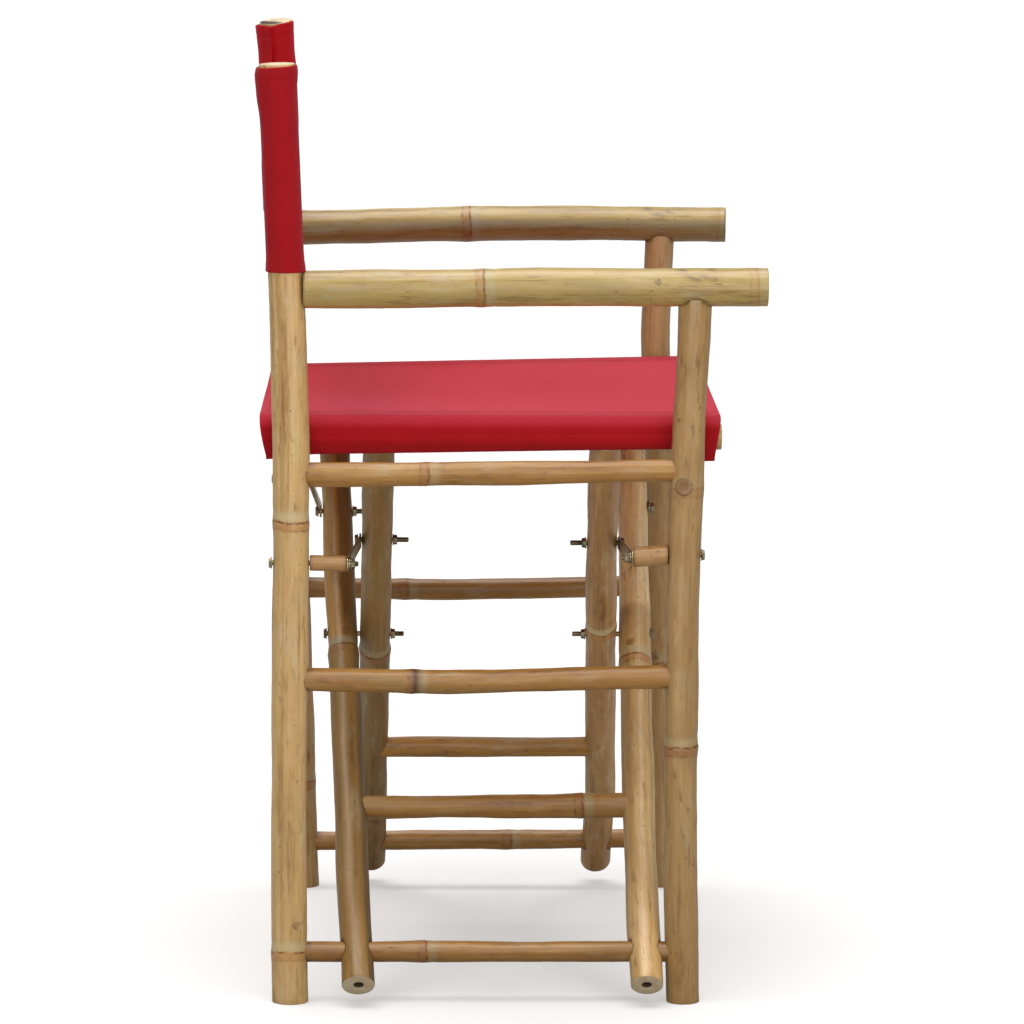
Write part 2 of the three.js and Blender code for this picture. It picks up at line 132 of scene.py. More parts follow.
def ring_faces(rings, sides):
    """Faces of a closed piece whose points run ring after ring, with one face over each end."""
    faces = []
    for ring in range(rings - 1):
        for k in range(sides):
            p, q = ring * sides + k, ring * sides + (k + 1) % sides
            faces.append((p, q, q + sides, p + sides))
    last = (rings - 1) * sides
    return faces + [tuple(reversed(range(sides))), tuple(range(last, last + sides))]


def new_object(name, data):
    thing = bpy.data.objects.new(name, data)
    bpy.context.scene.collection.objects.link(thing)
    return thing


def make_object(name, points, faces, materials, smooth=True):
    mesh = bpy.data.meshes.new(name)
    mesh.from_pydata([tuple(p) for p in points], [], [tuple(f) for f in faces])
    mesh.update()
    for material in materials:
        mesh.materials.append(material)
    mesh.polygons.foreach_set("use_smooth", [smooth] * len(mesh.polygons))
    return new_object(name, mesh)


def full_turn(sides):
    return np.arange(sides) * 2 * math.pi / sides


def points_of(mesh):
    flat = np.zeros(len(mesh.vertices) * 3)
    mesh.vertices.foreach_get("co", flat)
    return flat.reshape(-1, 3)


def paint(mesh, name, values):
    """Stores a number or a vector for each vertex, which the materials read."""
    values = np.asarray(values, np.float32)
    kind, key = ("FLOAT_VECTOR", "vector") if values.ndim == 2 else ("FLOAT", "value")
    mesh.attributes.new(name, kind, "POINT").data.foreach_set(key, values.ravel())


def row_at(places, place):
    """The number of the row that lies nearest to a place."""
    return int(np.argmin(np.abs(places - place)))


def face_out(mesh):
    """Turns every face of closed pieces outwards."""
    work = bmesh.new()
    work.from_mesh(mesh)
    bmesh.ops.recalc_face_normals(work, faces=work.faces)
    work.to_mesh(mesh)
    work.free()


def cut_by(thing, tool):
    """Cuts the tool's shape out of a thing, and removes the tool."""
    modifier = thing.modifiers.new("cut", "BOOLEAN")
    modifier.operation = "DIFFERENCE"
    modifier.solver = "EXACT"
    modifier.object = tool
    bpy.context.view_layer.update()
    graph = bpy.context.evaluated_depsgraph_get()
    made = bpy.data.meshes.new_from_object(thing.evaluated_get(graph))
    thing.modifiers.clear()
    thing.data = made
    bpy.data.objects.remove(tool)


def cutting_rod(start, radius, long, round_end=0.0):
    """A round tool along X, only used to cut with."""
    way = np.array((1.0, 0.0, 0.0))
    side = unit(np.cross(way, (0.3, 0.5, 0.81)))
    other = np.cross(way, side)
    points = [start + way * along + r * (math.cos(angle) * side + math.sin(angle) * other)
              for along, r in ((0, radius - round_end), (round_end, radius), (long, radius))
              for angle in full_turn(ROUND_SIDES)]
    return make_object("tool", points, ring_faces(3, ROUND_SIDES), [])


# ---------------------------------------------------------------- shader helpers

class Value:
    """The output of a shader node, which sums, products and blends can be made of."""

    def __init__(self, node, output=0):
        self.socket = node.outputs[output]

    def node(self, kind, inputs, output=0, **settings):
        return Value(add(self.socket.id_data, kind, inputs, **settings), output)

    def calc(self, operation, other=0.0):
        return self.node("ShaderNodeMath", {0: self, 1: other}, operation=operation)

    def __add__(self, other):
        return self.calc("ADD", other)

    def __sub__(self, other):
        return self.calc("SUBTRACT", other)

    def __mul__(self, other):
        return self.calc("MULTIPLY", other)

    def ramp(self, low, high, to_low=0.0, to_high=1.0):
        """A smooth step between two values."""
        inputs = {0: self, 1: low, 2: high, 3: to_low, 4: to_high}
        return self.node("ShaderNodeMapRange", inputs, interpolation_type="SMOOTHSTEP")

    def scaled(self, scale):
        return self.node("ShaderNodeVectorMath", {0: self, 1: scale}, operation="MULTIPLY")

    def noise(self, scale, detail=3.0, rough=0.55):
        """Noise of the place times scale, from 0 to 1 about 0.5."""
        inputs = {"Vector": self.scaled(scale), "Scale": 1.0, "Detail": detail, "Roughness": rough}
        return self.node("ShaderNodeTexNoise", inputs)

    def blend(self, a, b):
        """Colour a where this value is 0, and colour b where it is 1."""
        mix = add(self.socket.id_data, "ShaderNodeMix", data_type="RGBA")
        sockets = {socket.identifier: socket for socket in mix.inputs}
        for key, value in (("Factor_Float", self), ("A_Color", a), ("B_Color", b)):
            put(sockets[key], value)
        outputs = [socket.identifier for socket in mix.outputs]
        return Value(mix, outputs.index("Result_Color"))


def put(socket, value):
    """Links a value to a socket, or sets the socket to a number, a vector or a colour."""
    if isinstance(value, Value):
        socket.id_data.links.new(value.socket, socket)
    elif socket.type == "RGBA":
        socket.default_value = (*value[:3], 1)
    else:
        socket.default_value = value


def add(tree, kind, inputs=None, **settings):
    node = tree.nodes.new(kind)
    for key, value in settings.items():
        setattr(node, key, value)
    for key, value in (inputs or {}).items():
        put(node.inputs[key], value)
    return node


def painted(material, name, output="Fac"):
    """A value that is painted on the mesh."""
    return Value(add(material.node_tree, "ShaderNodeAttribute", attribute_name=name), output)


def place_on(material):
    return Value(add(material.node_tree, "ShaderNodeTexCoord"), "Object")


def camera_ray(tree):
    return Value(add(tree, "ShaderNodeLightPath"), "Is Camera Ray")


def srgb(red, green, blue):
    """A colour given from 0 to 255 as a screen shows it, in the linear values that shaders use."""
    def linear(value):
        value /= 255
        return value / 12.92 if value <= 0.04045 else ((value + 0.055) / 1.055) ** 2.4
    return tuple(linear(v) for v in (red, green, blue))


def new_material(name, **sockets):
    material = bpy.data.materials.new(name)
    material.use_nodes = True
    wire(material, **sockets)
    return material


def wire(material, **sockets):
    """Sets or links inputs of the material's shader."""
    shader = material.node_tree.nodes["Principled BSDF"]
    for key, value in sockets.items():
        put(shader.inputs[key.replace("_", " ")], value)


def bump(material, height, distance, strength):
    wire(material, Normal=height.node("ShaderNodeBump", {"Height": height, "Distance": distance,
                                                         "Strength": strength}))


# ---------------------------------------------------------------- materials

# Stains of bamboo skin: the noise's scale, detail and roughness, where it starts and is full, and the colour.
STAINS = (
    ((75, 75, 20), 4, 0.6, 0.54, 0.74, (196, 178, 142)),
    ((88, 88, 26), 3, 0.55, 0.55, 0.75, (192, 146, 98)),
    ((47, 47, 9), 3, 0.55, 0.54, 0.74, (166, 140, 84)),
)


def bamboo(name, light, base, dark, roughness=0.4, warmth=1.0):
    """Bamboo skin: long streaks, blotches, hazy and rosy patches, specks, and bands at the knots.

    warmth is how much redder the skin gets where its tone is darker.
    """
    material = new_material(name, Coat_Weight=0.2, Coat_Roughness=0.3)
    grain = painted(material, "grain", "Vector")
    tone, knot, plain, scar, grime = (painted(material, key)
                                      for key in ("tone", "knot", "knot_level", "scar", "grime"))

    broad = grain.noise((105, 105, 4.5), 3)
    streak = grain.noise((330, 330, 8), 4)
    fibre = grain.noise((1300, 1300, 40), 2)
    mottle = grain.noise((190, 190, 55), 4, 0.62)
    cloud = grain.noise((36, 36, 14), 3, 0.6)
    level = 0.5
    for part, share in ((broad, 1.3), (streak, 1.0), (mottle, 0.75), (cloud, 0.6), (fibre, 0.45)):
        level = part * share + (level - share / 2)
    colour = level.ramp(-0.05, 0.5).blend(dark, base)
    colour = level.ramp(0.5, 1.05).blend(colour, light)
    for scale, detail, rough, low, high, stain in STAINS:
        colour = grain.noise(scale, detail, rough).ramp(low, high, 0.0, 0.5).blend(colour, srgb(*stain))

    # Brown blotches drawn out along the grain, in clusters, and small dark specks and nicks.
    blotch = grain.noise((210, 210, 46), 4, 0.6).ramp(0.54, 0.70)
    cluster = grain.noise((30, 30, 16), 3).ramp(0.42, 0.62, 0.1, 0.75)
    vein = grain.noise((480, 480, 13), 3, 0.5).ramp(0.60, 0.74, 0.0, 0.5)
    speck = grain.noise((290, 290, 190), 2, 0.4).ramp(0.71, 0.79, 0.0, 0.8)
    nick = grain.noise((620, 620, 60), 2, 0.4).ramp(0.73, 0.81, 0.0, 0.7)
    marks = speck.calc("MAXIMUM", nick)
    for share, stain in ((blotch * cluster, (146, 104, 56)), (vein, (132, 92, 48)), (marks, (98, 64, 30))):
        colour = share.blend(colour, srgb(*stain))

    # Knots: a ragged orange-brown band, dark along its top and dotted along its foot, under a grey bloom.
    place = grain.noise((180, 180, 60), 4, 0.65) * (5 * MM) + (knot - 2.5 * MM)
    broken = grain.noise((150, 150, 190), 4, 0.6)

    def ring(below, near, far, strength, share):
        """A band round the pole, this far below the knot's line, that fades from near to far."""
        return (place + below * MM).calc("ABSOLUTE").ramp(near * MM, far * MM, strength, 0.0) * share

    top_line = ring(0.6, 0.5, 1.5, 0.95, broken.ramp(0.40, 0.56, 0.1, 1.0))
    foot_line = ring(8, 0.4, 1.6, 0.8, broken.ramp(0.50, 0.62, 0.05, 1.0))
    band = ring(4.4, 3.2, 6.0, 0.9, broken.ramp(0.25, 0.65, 1.0, 0.45))
    bloom = place.ramp(0.3 * MM, 2.5 * MM) * place.ramp(6 * MM, 13 * MM, 0.6, 0.0)
    lines = top_line.calc("MAXIMUM", foot_line)
    for share, stain in ((bloom, (192, 176, 134)), (band, (178, 120, 62)), (lines, (118, 70, 32))):
        colour = (share * plain).blend(colour, srgb(*stain))

    # Branch scars, a brown eye with a darker rim, and darker skin: painted shade where parts meet, and dark places
    # listed on a pole.
    spot = mottle * 0.5 + scar
    eye = spot.ramp(0.75, 1.3, 0.85, 0.0)
    rim = (spot - 1.25).calc("ABSOLUTE").ramp(0.05, 0.28, 0.7, 0.0) * broken.ramp(0.35, 0.6, 0.3, 1.0)
    for share, stain in ((eye, (146, 102, 60)), (rim, (104, 66, 34)), (grime * 0.8, (92, 60, 32))):
        colour = share.blend(colour, srgb(*stain))
    red = tone.calc("POWER", 1 - 0.15 * warmth)
    blue = tone.calc("POWER", 1 + 0.27 * warmth)
    shade = tone.node("ShaderNodeCombineXYZ", {0: red, 1: tone, 2: blue})
    gloss = mottle * 0.3 + (roughness - 0.15) + marks * 0.2
    wire(material, Base_Color=colour.scaled(shade), Roughness=gloss)
    bump(material, fibre * 0.35 + streak * 0.9 + mottle * 0.6 - marks * 0.8, 0.3 * MM, 0.6)
    return material


def cut_wood():
    """The sawn end of a bamboo pole: cream, with brown fibre ends, and painted shade, dark in the hollow."""
    material = new_material("bamboo_cut", Roughness=0.72)
    grain = painted(material, "grain", "Vector")
    dots = grain.node("ShaderNodeTexVoronoi", {"Vector": grain.scaled((1500, 1500, 20)), "Scale": 1.0},
                      "Distance")
    patches = grain.noise((110, 110, 110), 4)
    colour = patches.ramp(0.3, 0.75).blend(srgb(216, 201, 170), srgb(197, 172, 134))
    colour = dots.ramp(0.15, 0.4, 0.5, 0.0).blend(colour, srgb(168, 128, 82))
    # Painted shade: hollows and holes are coloured dark brown.
    colour = painted(material, "inside").ramp(0.0, 1.0).blend(colour, srgb(60, 38, 22))
    wire(material, Base_Color=colour)
    bump(material, patches + dots, 0.2 * MM, 0.5)
    return material


def canvas(name, sheen, shine):
    """Plain-weave cotton canvas: crossing threads, slubs, soft blotches and a little fuzz."""
    deep, base, bright = srgb(162, 10, 19), srgb(176, 14, 25), srgb(186, 20, 32)
    material = new_material(name, Roughness=0.9, Sheen_Weight=sheen, Sheen_Roughness=0.4,
                            Sheen_Tint=(1.0, 0.52, 0.72), Specular_IOR_Level=shine)
    cloth = painted(material, "cloth", "Vector")
    across, along = (cloth.node("ShaderNodeSeparateXYZ", {0: cloth}, axis) for axis in (0, 1))
    wave = 2 * math.pi / (0.85 * MM)
    weave = (across * wave).calc("SINE") * (along * wave).calc("SINE")
    threads = cloth.noise((1200, 9, 1), 3) + cloth.noise((9, 1200, 1), 3)
    fine = cloth.noise((420, 420, 1), 3, 0.6)
    blotch = cloth.noise((26, 26, 1), 4, 0.6) * 0.45 + fine * 0.55
    blotch = threads * 0.3 + (blotch - 0.3)
    colour = blotch.ramp(0.25, 0.55).blend(deep, base)
    colour = blotch.ramp(0.5, 0.8).blend(colour, bright)
    colour = weave.ramp(-1.0, 0.2, 0.22, 0.0).blend(colour, deep)
    # Painted sheen: above a height the seat's top is mixed towards pale pink, as glancing light shows it.
    colour = painted(material, "bleach").blend(colour, srgb(196, 62, 82))
    wire(material, Base_Color=colour.scaled(painted(material, "fade")))
    bump(material, threads * 0.5 + weave + fine * 0.8, 0.12 * MM, 0.55)
    return material


def thread():
    material = new_material("sewing_thread", Roughness=0.9, Specular_IOR_Level=0.1)
    twist = painted(material, "cloth", "Vector").noise((900, 900, 900), 2)
    wire(material, Base_Color=twist.blend(srgb(140, 9, 17), srgb(158, 12, 21)))
    return material


def plated_steel(name, dark, light, stain):
    """Yellow-passivated zinc: brassy grey, cloudy, with dark smudges in the low places."""
    material = new_material(name, Metallic=1.0)
    place = place_on(material)
    cloud = place.noise((150, 150, 150), 2, 0.5)
    fine = place.noise((1800, 1800, 1800), 3)
    colour = cloud.ramp(0.35, 0.7).blend(dark, light)
    colour = fine.ramp(0.58, 0.8, 0.0, 0.25).blend(colour, srgb(82, 72, 54))
    colour = place.noise((90, 90, 90), 3).ramp(0.5, 0.75, 0.0, 0.45).blend(colour, stain)
    wire(material, Base_Color=colour, Roughness=cloud * 0.3 + 0.2)
    bump(material, fine, 0.05 * MM, 0.5)
    return material


def floor_material():
    """Pale floor. Light that bounces off it is held back, as dark studio surroundings would."""
    material = new_material("studio_floor", Roughness=0.75, Specular_IOR_Level=0.1)
    seen = camera_ray(material.node_tree)
    pale = place_on(material).noise((3, 3, 3), 3).blend(srgb(240, 239, 237), srgb(244, 243, 241))
    wire(material, Base_Color=seen.blend(srgb(156, 154, 150), srgb(188, 187, 186)), Emission_Color=pale,
         Emission_Strength=seen * 0.42)
    return material


BAMBOO = {
    "bamboo_pale": bamboo("bamboo_pale", srgb(220, 188, 134), srgb(200, 162, 104), srgb(162, 120, 66)),
    "bamboo_brown": bamboo("bamboo_brown", srgb(192, 154, 98), srgb(168, 124, 72), srgb(124, 86, 46), 0.44),
    "bamboo_olive": bamboo("bamboo_olive", srgb(188, 149, 84), srgb(162, 122, 63), srgb(117, 84, 38), 0.5, 0),
    "bamboo_grey": bamboo("bamboo_grey",
                          srgb(216, 190, 136), srgb(194, 162, 88), srgb(154, 118, 56), 0.4, -0.6),
    "bamboo_moss": bamboo("bamboo_moss",
                          srgb(192, 151, 80), srgb(172, 127, 58), srgb(122, 86, 36), 0.5, -0.5),
    "bamboo_orange": bamboo("bamboo_orange", srgb(208, 163, 92), srgb(184, 134, 62), srgb(140, 94, 38), 0.42),
}
CUT_WOOD = cut_wood()
CANVAS = canvas("canvas", sheen=0.14, shine=0.22)
PANEL_CANVAS = canvas("panel_canvas", sheen=0.0, shine=0.0)
THREAD = thread()
# The bolts', nuts' and links' colours are kept dark: partly the steel's own colour and partly painted reflection
# of dark surroundings.
STEEL = plated_steel("zinc_steel", srgb(112, 102, 82), srgb(172, 162, 134), srgb(140, 118, 76))
YELLOW = plated_steel("yellow_steel", srgb(176, 160, 92), srgb(226, 212, 142), srgb(190, 168, 86))


# ---------------------------------------------------------------- bamboo poles

class Line:
    """Where a pole of the frame runs: its direction, and its centre and radius at any distance along."""

    def __init__(self, node, origin, way, knots):
        self.origin = np.asarray(origin, float)
        self.way = unit(way)
        self.across = np.array((0.0, 1.0, 0.0)) if abs(self.way[0]) > 0.9 else np.array((1.0, 0.0, 0.0))
        self.other = np.cross(self.way, self.across)
        mesh = frame["nodes"][node].data
        points = points_of(mesh) - self.origin
        along = points @ self.way
        side = np.stack([points @ self.across, points @ self.other], 1)
        edges = np.zeros(len(mesh.edges) * 2, int)
        mesh.edges.foreach_get("vertices", edges)
        edges = edges.reshape(-1, 2)
        self.low, self.high = along.min(), along.max()
        found = []
        for at in np.arange(self.low + 2 * MM, self.high - 2 * MM, 4 * MM):
            if any(abs(at - knot[0]) < 9 * MM for knot in knots):
                continue
            section = self.section(along, side, edges, at)
            if section is not None:
                found.append((at, *section))
        found = np.array(found)
        found = found[found[:, 3] > 0.85 * np.median(found[:, 3])]
        self.grid = np.arange(self.low, self.high + RING, 4 * MM)
        self.values = [self.even(np.interp(self.grid, found[:, 0], found[:, k])) for k in (1, 2, 3)]

    @staticmethod
    def section(along, side, edges, at):
        """Centre and radius of the ring where a plane crosses the pole, or None beside a cut."""
        ends = along[edges] - at
        crossed = ends[:, 0] * ends[:, 1] < 0
        first, last = edges[crossed].T
        share = (ends[crossed, 0] / (ends[crossed, 0] - ends[crossed, 1]))[:, None]
        ring = side[first] * (1 - share) + side[last] * share
        if len(ring) < 8:
            return None
        fit = np.linalg.lstsq(np.c_[2 * ring, np.ones(len(ring))], (ring ** 2).sum(1), rcond=None)[0]
        reach = np.linalg.norm(ring - fit[:2], axis=1)
        if reach.max() - reach.min() > 0.9 * MM:
            return None
        return fit[0], fit[1], reach.max()

    @staticmethod
    def even(values, width=6):
        """The values with their kinks rounded off."""
        padded = np.pad(values, 2 * width, mode="reflect", reflect_type="odd")
        kernel = bell(np.arange(-2 * width, 2 * width + 1), width)
        return np.convolve(padded, kernel / kernel.sum(), mode="valid")

    def at(self, along):
        return [np.interp(along, self.grid, v) for v in self.values]

    def place(self, along):
        """The centre point at a distance along."""
        a, b, _ = self.at(along)
        return self.origin + self.way * along + self.across * a + self.other * b


def knot_wobble(angle, phase):
    """How far a knot's line strays along the pole, round it."""
    return 0.8 * MM * np.sin(angle + phase) + 0.35 * MM * np.sin(3 * angle + 2 * phase)


def stations(line, knots):
    """Distances along the pole that get a ring of points: even ones, and close ones at knots and ends."""
    spots = [np.arange(line.low, line.high, RING), [line.high]]
    for knot in knots:
        spots.append(np.arange(knot[0] - KNOT_REACH, knot[0] + KNOT_REACH, KNOT_RING))
    spots = np.concatenate(spots)
    spots = np.unique(np.round(spots[(spots >= line.low) & (spots <= line.high)], 5))
    keep = [spots[0]]
    for spot in spots[1:]:
        if spot - keep[-1] > 0.4 * KNOT_RING:
            keep.append(spot)
    keep[-1] = line.high
    return np.array(keep)


def swelling(step, strength):
    """How far the skin stands out at a distance from a knot's line: a broad low bulge, a groove, a ridge."""
    bulge = 0.55 * MM * bell(step + 3.5 * MM, 8.5 * MM)
    ridge = 0.12 * MM * bell(step + 2.6 * MM, 1.8 * MM)
    groove = 0.2 * MM * bell(step, 0.8 * MM)
    neck = 0.22 * MM * bell(step - 8 * MM, 4.5 * MM)
    return strength * (bulge + ridge - groove - neck)


def culm(node, seed, knots=(), finish="bamboo_pale", tone=1.0, slants=(0.0, 0.0), leans=(0.0, 0.0),
         piths=(0.0, 0.0), flutes=(), scars=(), grime=(), shades=(), rounds=(EDGE_ROUND, EDGE_ROUND),
         sides=44, cut=None, joined=()):
    """A bamboo pole over a frame node.

    knots are (place along, strength). tone is how light the skin is. slants and leans tilt the two sawn
    ends. piths are the radii of the hollows in them, and rounds those of their edges. flutes are shallow
    channels (angle, depth, from, to). scars are (angle, place, radius). grime gives places of darker
    skin (place, reach). shades are lighter or darker strips (angle, half width, from, to, strength), some of
    them painted shade. cut is an object that cuts the pole. joined are the lines of the posts that it runs
    into; its skin is painted darker there, a painted contact shadow.
    """
    line = LINES[node]
    draw = np.random.default_rng(SEED + seed)
    waves = [(amp * MM, 2 * math.pi / draw.uniform(*span), draw.uniform(0, 6.28), turns)
             for amp, span, turns in ((0.22, (0.09, 0.2), 0), (0.2, (0.1, 0.22), 1), (0.22, (0.1, 0.3), 2),
                                      (0.1, (0.04, 0.09), 3), (0.05, (0.018, 0.04), 2),
                                      (0.04, (0.012, 0.03), 5), (0.035, (0.05, 0.09), 8))]
    oval, turn = draw.uniform(0.004, 0.012), draw.uniform(0, 3.14)
    tilt = draw.uniform(0, 6.28, 4)
    spots = stations(line, knots)
    angle = full_turn(sides)
    grid_t, grid_a = np.meshgrid(spots, angle, indexing="ij")
    radius = line.at(grid_t)[2] * (1 + oval * np.cos(2 * (grid_a - turn)))
    for amp, rate, phase, turns in waves:
        radius = radius + amp * np.sin(rate * grid_t + phase + turns * grid_a)
    for k, (spot, strength) in enumerate(knots):
        radius = radius + swelling(grid_t - spot - knot_wobble(grid_a, tilt[k]), strength)
    for at, depth, start, end in flutes:
        turned = turn_from(grid_a, at)
        share = between(grid_t, start, end, 8 * MM, 25 * MM)
        radius = radius - depth * share * (bell(turned, 0.34) - 0.35 * bell(turned, 0.8))
    for at, spot, size in scars:
        away = np.hypot(turn_from(grid_a, at) * radius, grid_t - spot) / size
        radius = radius + 0.5 * MM * bell(away - 0.9, 0.3) - 0.5 * MM * bell(away, 0.6)

    # Rings of points, then a rounded edge, a sawn face and a hollow at each end.
    rings = [(grid_t[k], radius[k], np.zeros(2)) for k in range(len(spots))]
    for end, way in ((0, -1), (-1, 1)):
        edge_t, edge_r, _ = rings[end]
        slant = np.array((slants[end], leans[end]))
        pith, soft = piths[end], rounds[end]
        extra = []
        for turn in np.linspace(0, math.pi / 2, 4 if soft <= EDGE_ROUND else 7):
            inward, back = soft * (1 - math.cos(turn)), soft * (1 - math.sin(turn))
            extra.append((edge_t - way * back, edge_r - inward, slant))
        innermost = 0.4
        hollow = innermost * (pith > 0)
        for share in (0.86, 0.62, innermost):
            size = pith + (edge_r - soft - pith) * (share - hollow) / (1 - hollow)
            extra.append((edge_t, size, slant))
        if pith > 0:
            for deep, narrower in ((0.6 * MM, 0.4 * MM), (14 * MM, 0.6 * MM)):
                extra.append((edge_t - way * deep, np.full(sides, pith - narrower), slant))
        if end == 0:
            rings[0] = extra[0]
            rings = extra[:0:-1] + rings
        else:
            rings[-1] = extra[0]
            rings = rings + extra[1:]
    points = []
    for ring_t, ring_r, slant in rings:
        a, b, _ = line.at(ring_t)
        tilted = ring_t + ring_r * (slant[0] * np.cos(angle) + slant[1] * np.sin(angle))
        points.append(line.origin + np.outer(tilted, line.way)
                      + np.outer(a + ring_r * np.cos(angle), line.across)
                      + np.outer(b + ring_r * np.sin(angle), line.other))
    pole = make_object(f"{node}_bamboo", np.concatenate(points), ring_faces(len(rings), sides),
                       [BAMBOO[finish], CUT_WOOD])
    if cut:
        cut_by(pole, cut)
    mark_pole(pole.data, line, knots, scars, grime, shades, joined, tone, draw, tilt)
    stand_for(pole, node)


def mark_pole(mesh, line, knots, scars, grime, shades, joined, tone, draw, tilt):
    """Paints what the bamboo material reads, and gives the sawn faces their own material."""
    points = points_of(mesh) - line.origin
    along = points @ line.way
    a, b, radius = line.at(along)
    x, y = points @ line.across - a, points @ line.other - b
    angle = np.arctan2(y, x)
    reach = np.hypot(x, y)
    shift = draw.uniform(-3, 3, 3)
    paint(mesh, "grain", np.stack([x + shift[0], y + shift[1], along + shift[2]], 1))
    nearest, plain = np.full(len(points), 1.0), np.ones(len(points))
    for k, (spot, strength) in enumerate(knots):
        step = along - spot - knot_wobble(angle, tilt[k])
        closer = np.abs(step) < np.abs(nearest)
        nearest = np.where(closer, step, nearest)
        plain = np.where(closer, min(strength, 1.0), plain)
    paint(mesh, "knot", nearest)
    paint(mesh, "knot_level", plain)
    away = np.full(len(points), 9.0)
    for at, spot, size in scars:
        away = np.minimum(away, np.hypot(turn_from(angle, at) * radius, along - spot) / size)
    paint(mesh, "scar", away)
    shade = np.ones(len(points))
    for at, width, start, end, strength in shades:
        turned = np.abs(turn_from(angle, at))
        span = between(along, start, end, 6 * MM, 6 * MM)
        shade = shade + strength * span * (1 - smoothstep(turned, 0.85 * width, 1.12 * width))
    dirt_and_shade = np.zeros(len(points))
    for spot, far in grime:
        dirt_and_shade = np.maximum(dirt_and_shade, bell(along - spot, far))
    # Painted contact shadow: the skin darkens within about a millimetre of a post's surface.
    for post in joined:
        a, b, size = post.at(points[:, 2])
        gap = np.hypot(points[:, 0] - a, points[:, 1] - b) - size
        dirt_and_shade = np.maximum(dirt_and_shade, 0.8 * bell(gap, 1.3 * MM))
    paint(mesh, "grime", dirt_and_shade)
    paint(mesh, "tone", tone * shade)
    # Painted shade in hollows: skin sunk below the pole's radius away from its ends, in the pith hollows, holes
    # and saddles, is marked to be coloured dark.
    deep = np.minimum(along - line.low, line.high - along)
    hollow = smoothstep(deep, 0.1 * MM, 0.8 * MM) * smoothstep(radius - reach, 0.3 * MM, 1 * MM)
    paint(mesh, "inside", hollow)
    for face in mesh.polygons:
        spots = list(face.vertices)
        sunk = (radius[spots] - reach[spots]).mean()
        end_on = abs(Vector(line.way).dot(face.normal)) > 0.8
        near_end = deep[spots].mean() < 3 * MM
        if sunk > 1.6 * MM or (end_on and near_end):
            face.material_index = 1


# Posts, as heights. The angle 0 points to +X and -90 degrees to the near side.
FACING_NEAR = -math.pi / 2
POSTS = {
    "near_rear_post": dict(knots=[(0.049, 0.9), (0.4573, 1.0)], tone=1.0, slants=(0, 0.03),
                           scars=[(-1.15, 0.075, 4 * MM)],
                           flutes=[(-2.05, 0.35 * MM, 0.06, 0.43), (-2.05, 0.3 * MM, 0.47, 0.68)],
                           # Painted shade: darker strips along the two flutes, and a painted shadow on the post
                           # beside the armrest's end.
                           shades=[(-2.1, 0.16, 0.47, 0.69, -0.25), (-2.0, 0.12, 0.06, 0.44, -0.15),
                                   (0, 0.75, 0.660, 0.691, -0.6)]),
    "far_rear_post": dict(knots=[(0.11, 0.8), (0.63, 0.8)], tone=0.8, slants=(0, 0.11), leans=(0, 0.11)),
    "near_front_post": dict(knots=[(0.245, 2.0), (0.4885, 0.4)], tone=0.6,
                            scars=[(FACING_NEAR - 0.24, 0.4909, 7.5 * MM), (-2.3, 0.552, 2.5 * MM),
                                   (-2.0, 0.5096, 1.3 * MM)]),
    "far_front_post": dict(knots=[(0.232, 1.0), (0.52, 0.8)], tone=0.7,
                           scars=[(-2.05, 0.2385, 4 * MM), (-2.05, 0.2385, 1.5 * MM)]),
}
X_SHIFT = -13.49 * MM  # from the middle between the post feet to the middle of the chair
ARM_ROUNDS = (2.2 * MM, EDGE_ROUND)
RAILS = {
    "near_armrest": dict(knots=[(-0.0235, 0.8), (0.2295, 0.35)], finish="bamboo_grey", tone=0.75,
                         scars=[(2.75, 0.135, 3.5 * MM)], rounds=ARM_ROUNDS),
    # The far armrest is painted darker from its middle down towards the near side: painted shade on its lower
    # half.
    "far_armrest": dict(knots=[(-0.0235, 0.9), (0.225, 0.3)], finish="bamboo_grey", tone=0.76,
                        slants=(0, 0.08), rounds=ARM_ROUNDS, shades=[(-1.9, 1.6, -1, 1, -0.42)]),
    "near_upper_rail": dict(knots=[(-0.0755, 0.8)], finish="bamboo_orange", tone=0.72),
    "far_upper_rail": dict(knots=[(0.04, 0.8)], finish="bamboo_orange", tone=0.9),
    "near_middle_rail": dict(knots=[(-0.0865, 1.1)], finish="bamboo_orange", tone=0.66,
                             grime=[(-0.0865, 5 * MM)]),
    "far_middle_rail": dict(knots=[(-0.086, 0.9)], finish="bamboo_orange", tone=0.58),
    "near_bottom_rail": dict(knots=[(-0.0755, 0.9)], finish="bamboo_orange", tone=0.56),
    "far_bottom_rail": dict(knots=[(0.02, 0.8)], finish="bamboo_orange", tone=0.72),
    "rung_b": dict(knots=[(0.0765, 1.0)], finish="bamboo_orange", tone=0.66),
    "rung_a": dict(knots=[], finish="bamboo_orange", tone=0.9),
    "seat_rail_a": dict(knots=[(-0.05, 0.7)], finish="bamboo_pale", tone=0.7),
    "seat_rail_b": dict(knots=[(0.08, 0.7)], finish="bamboo_pale", tone=0.7),
}
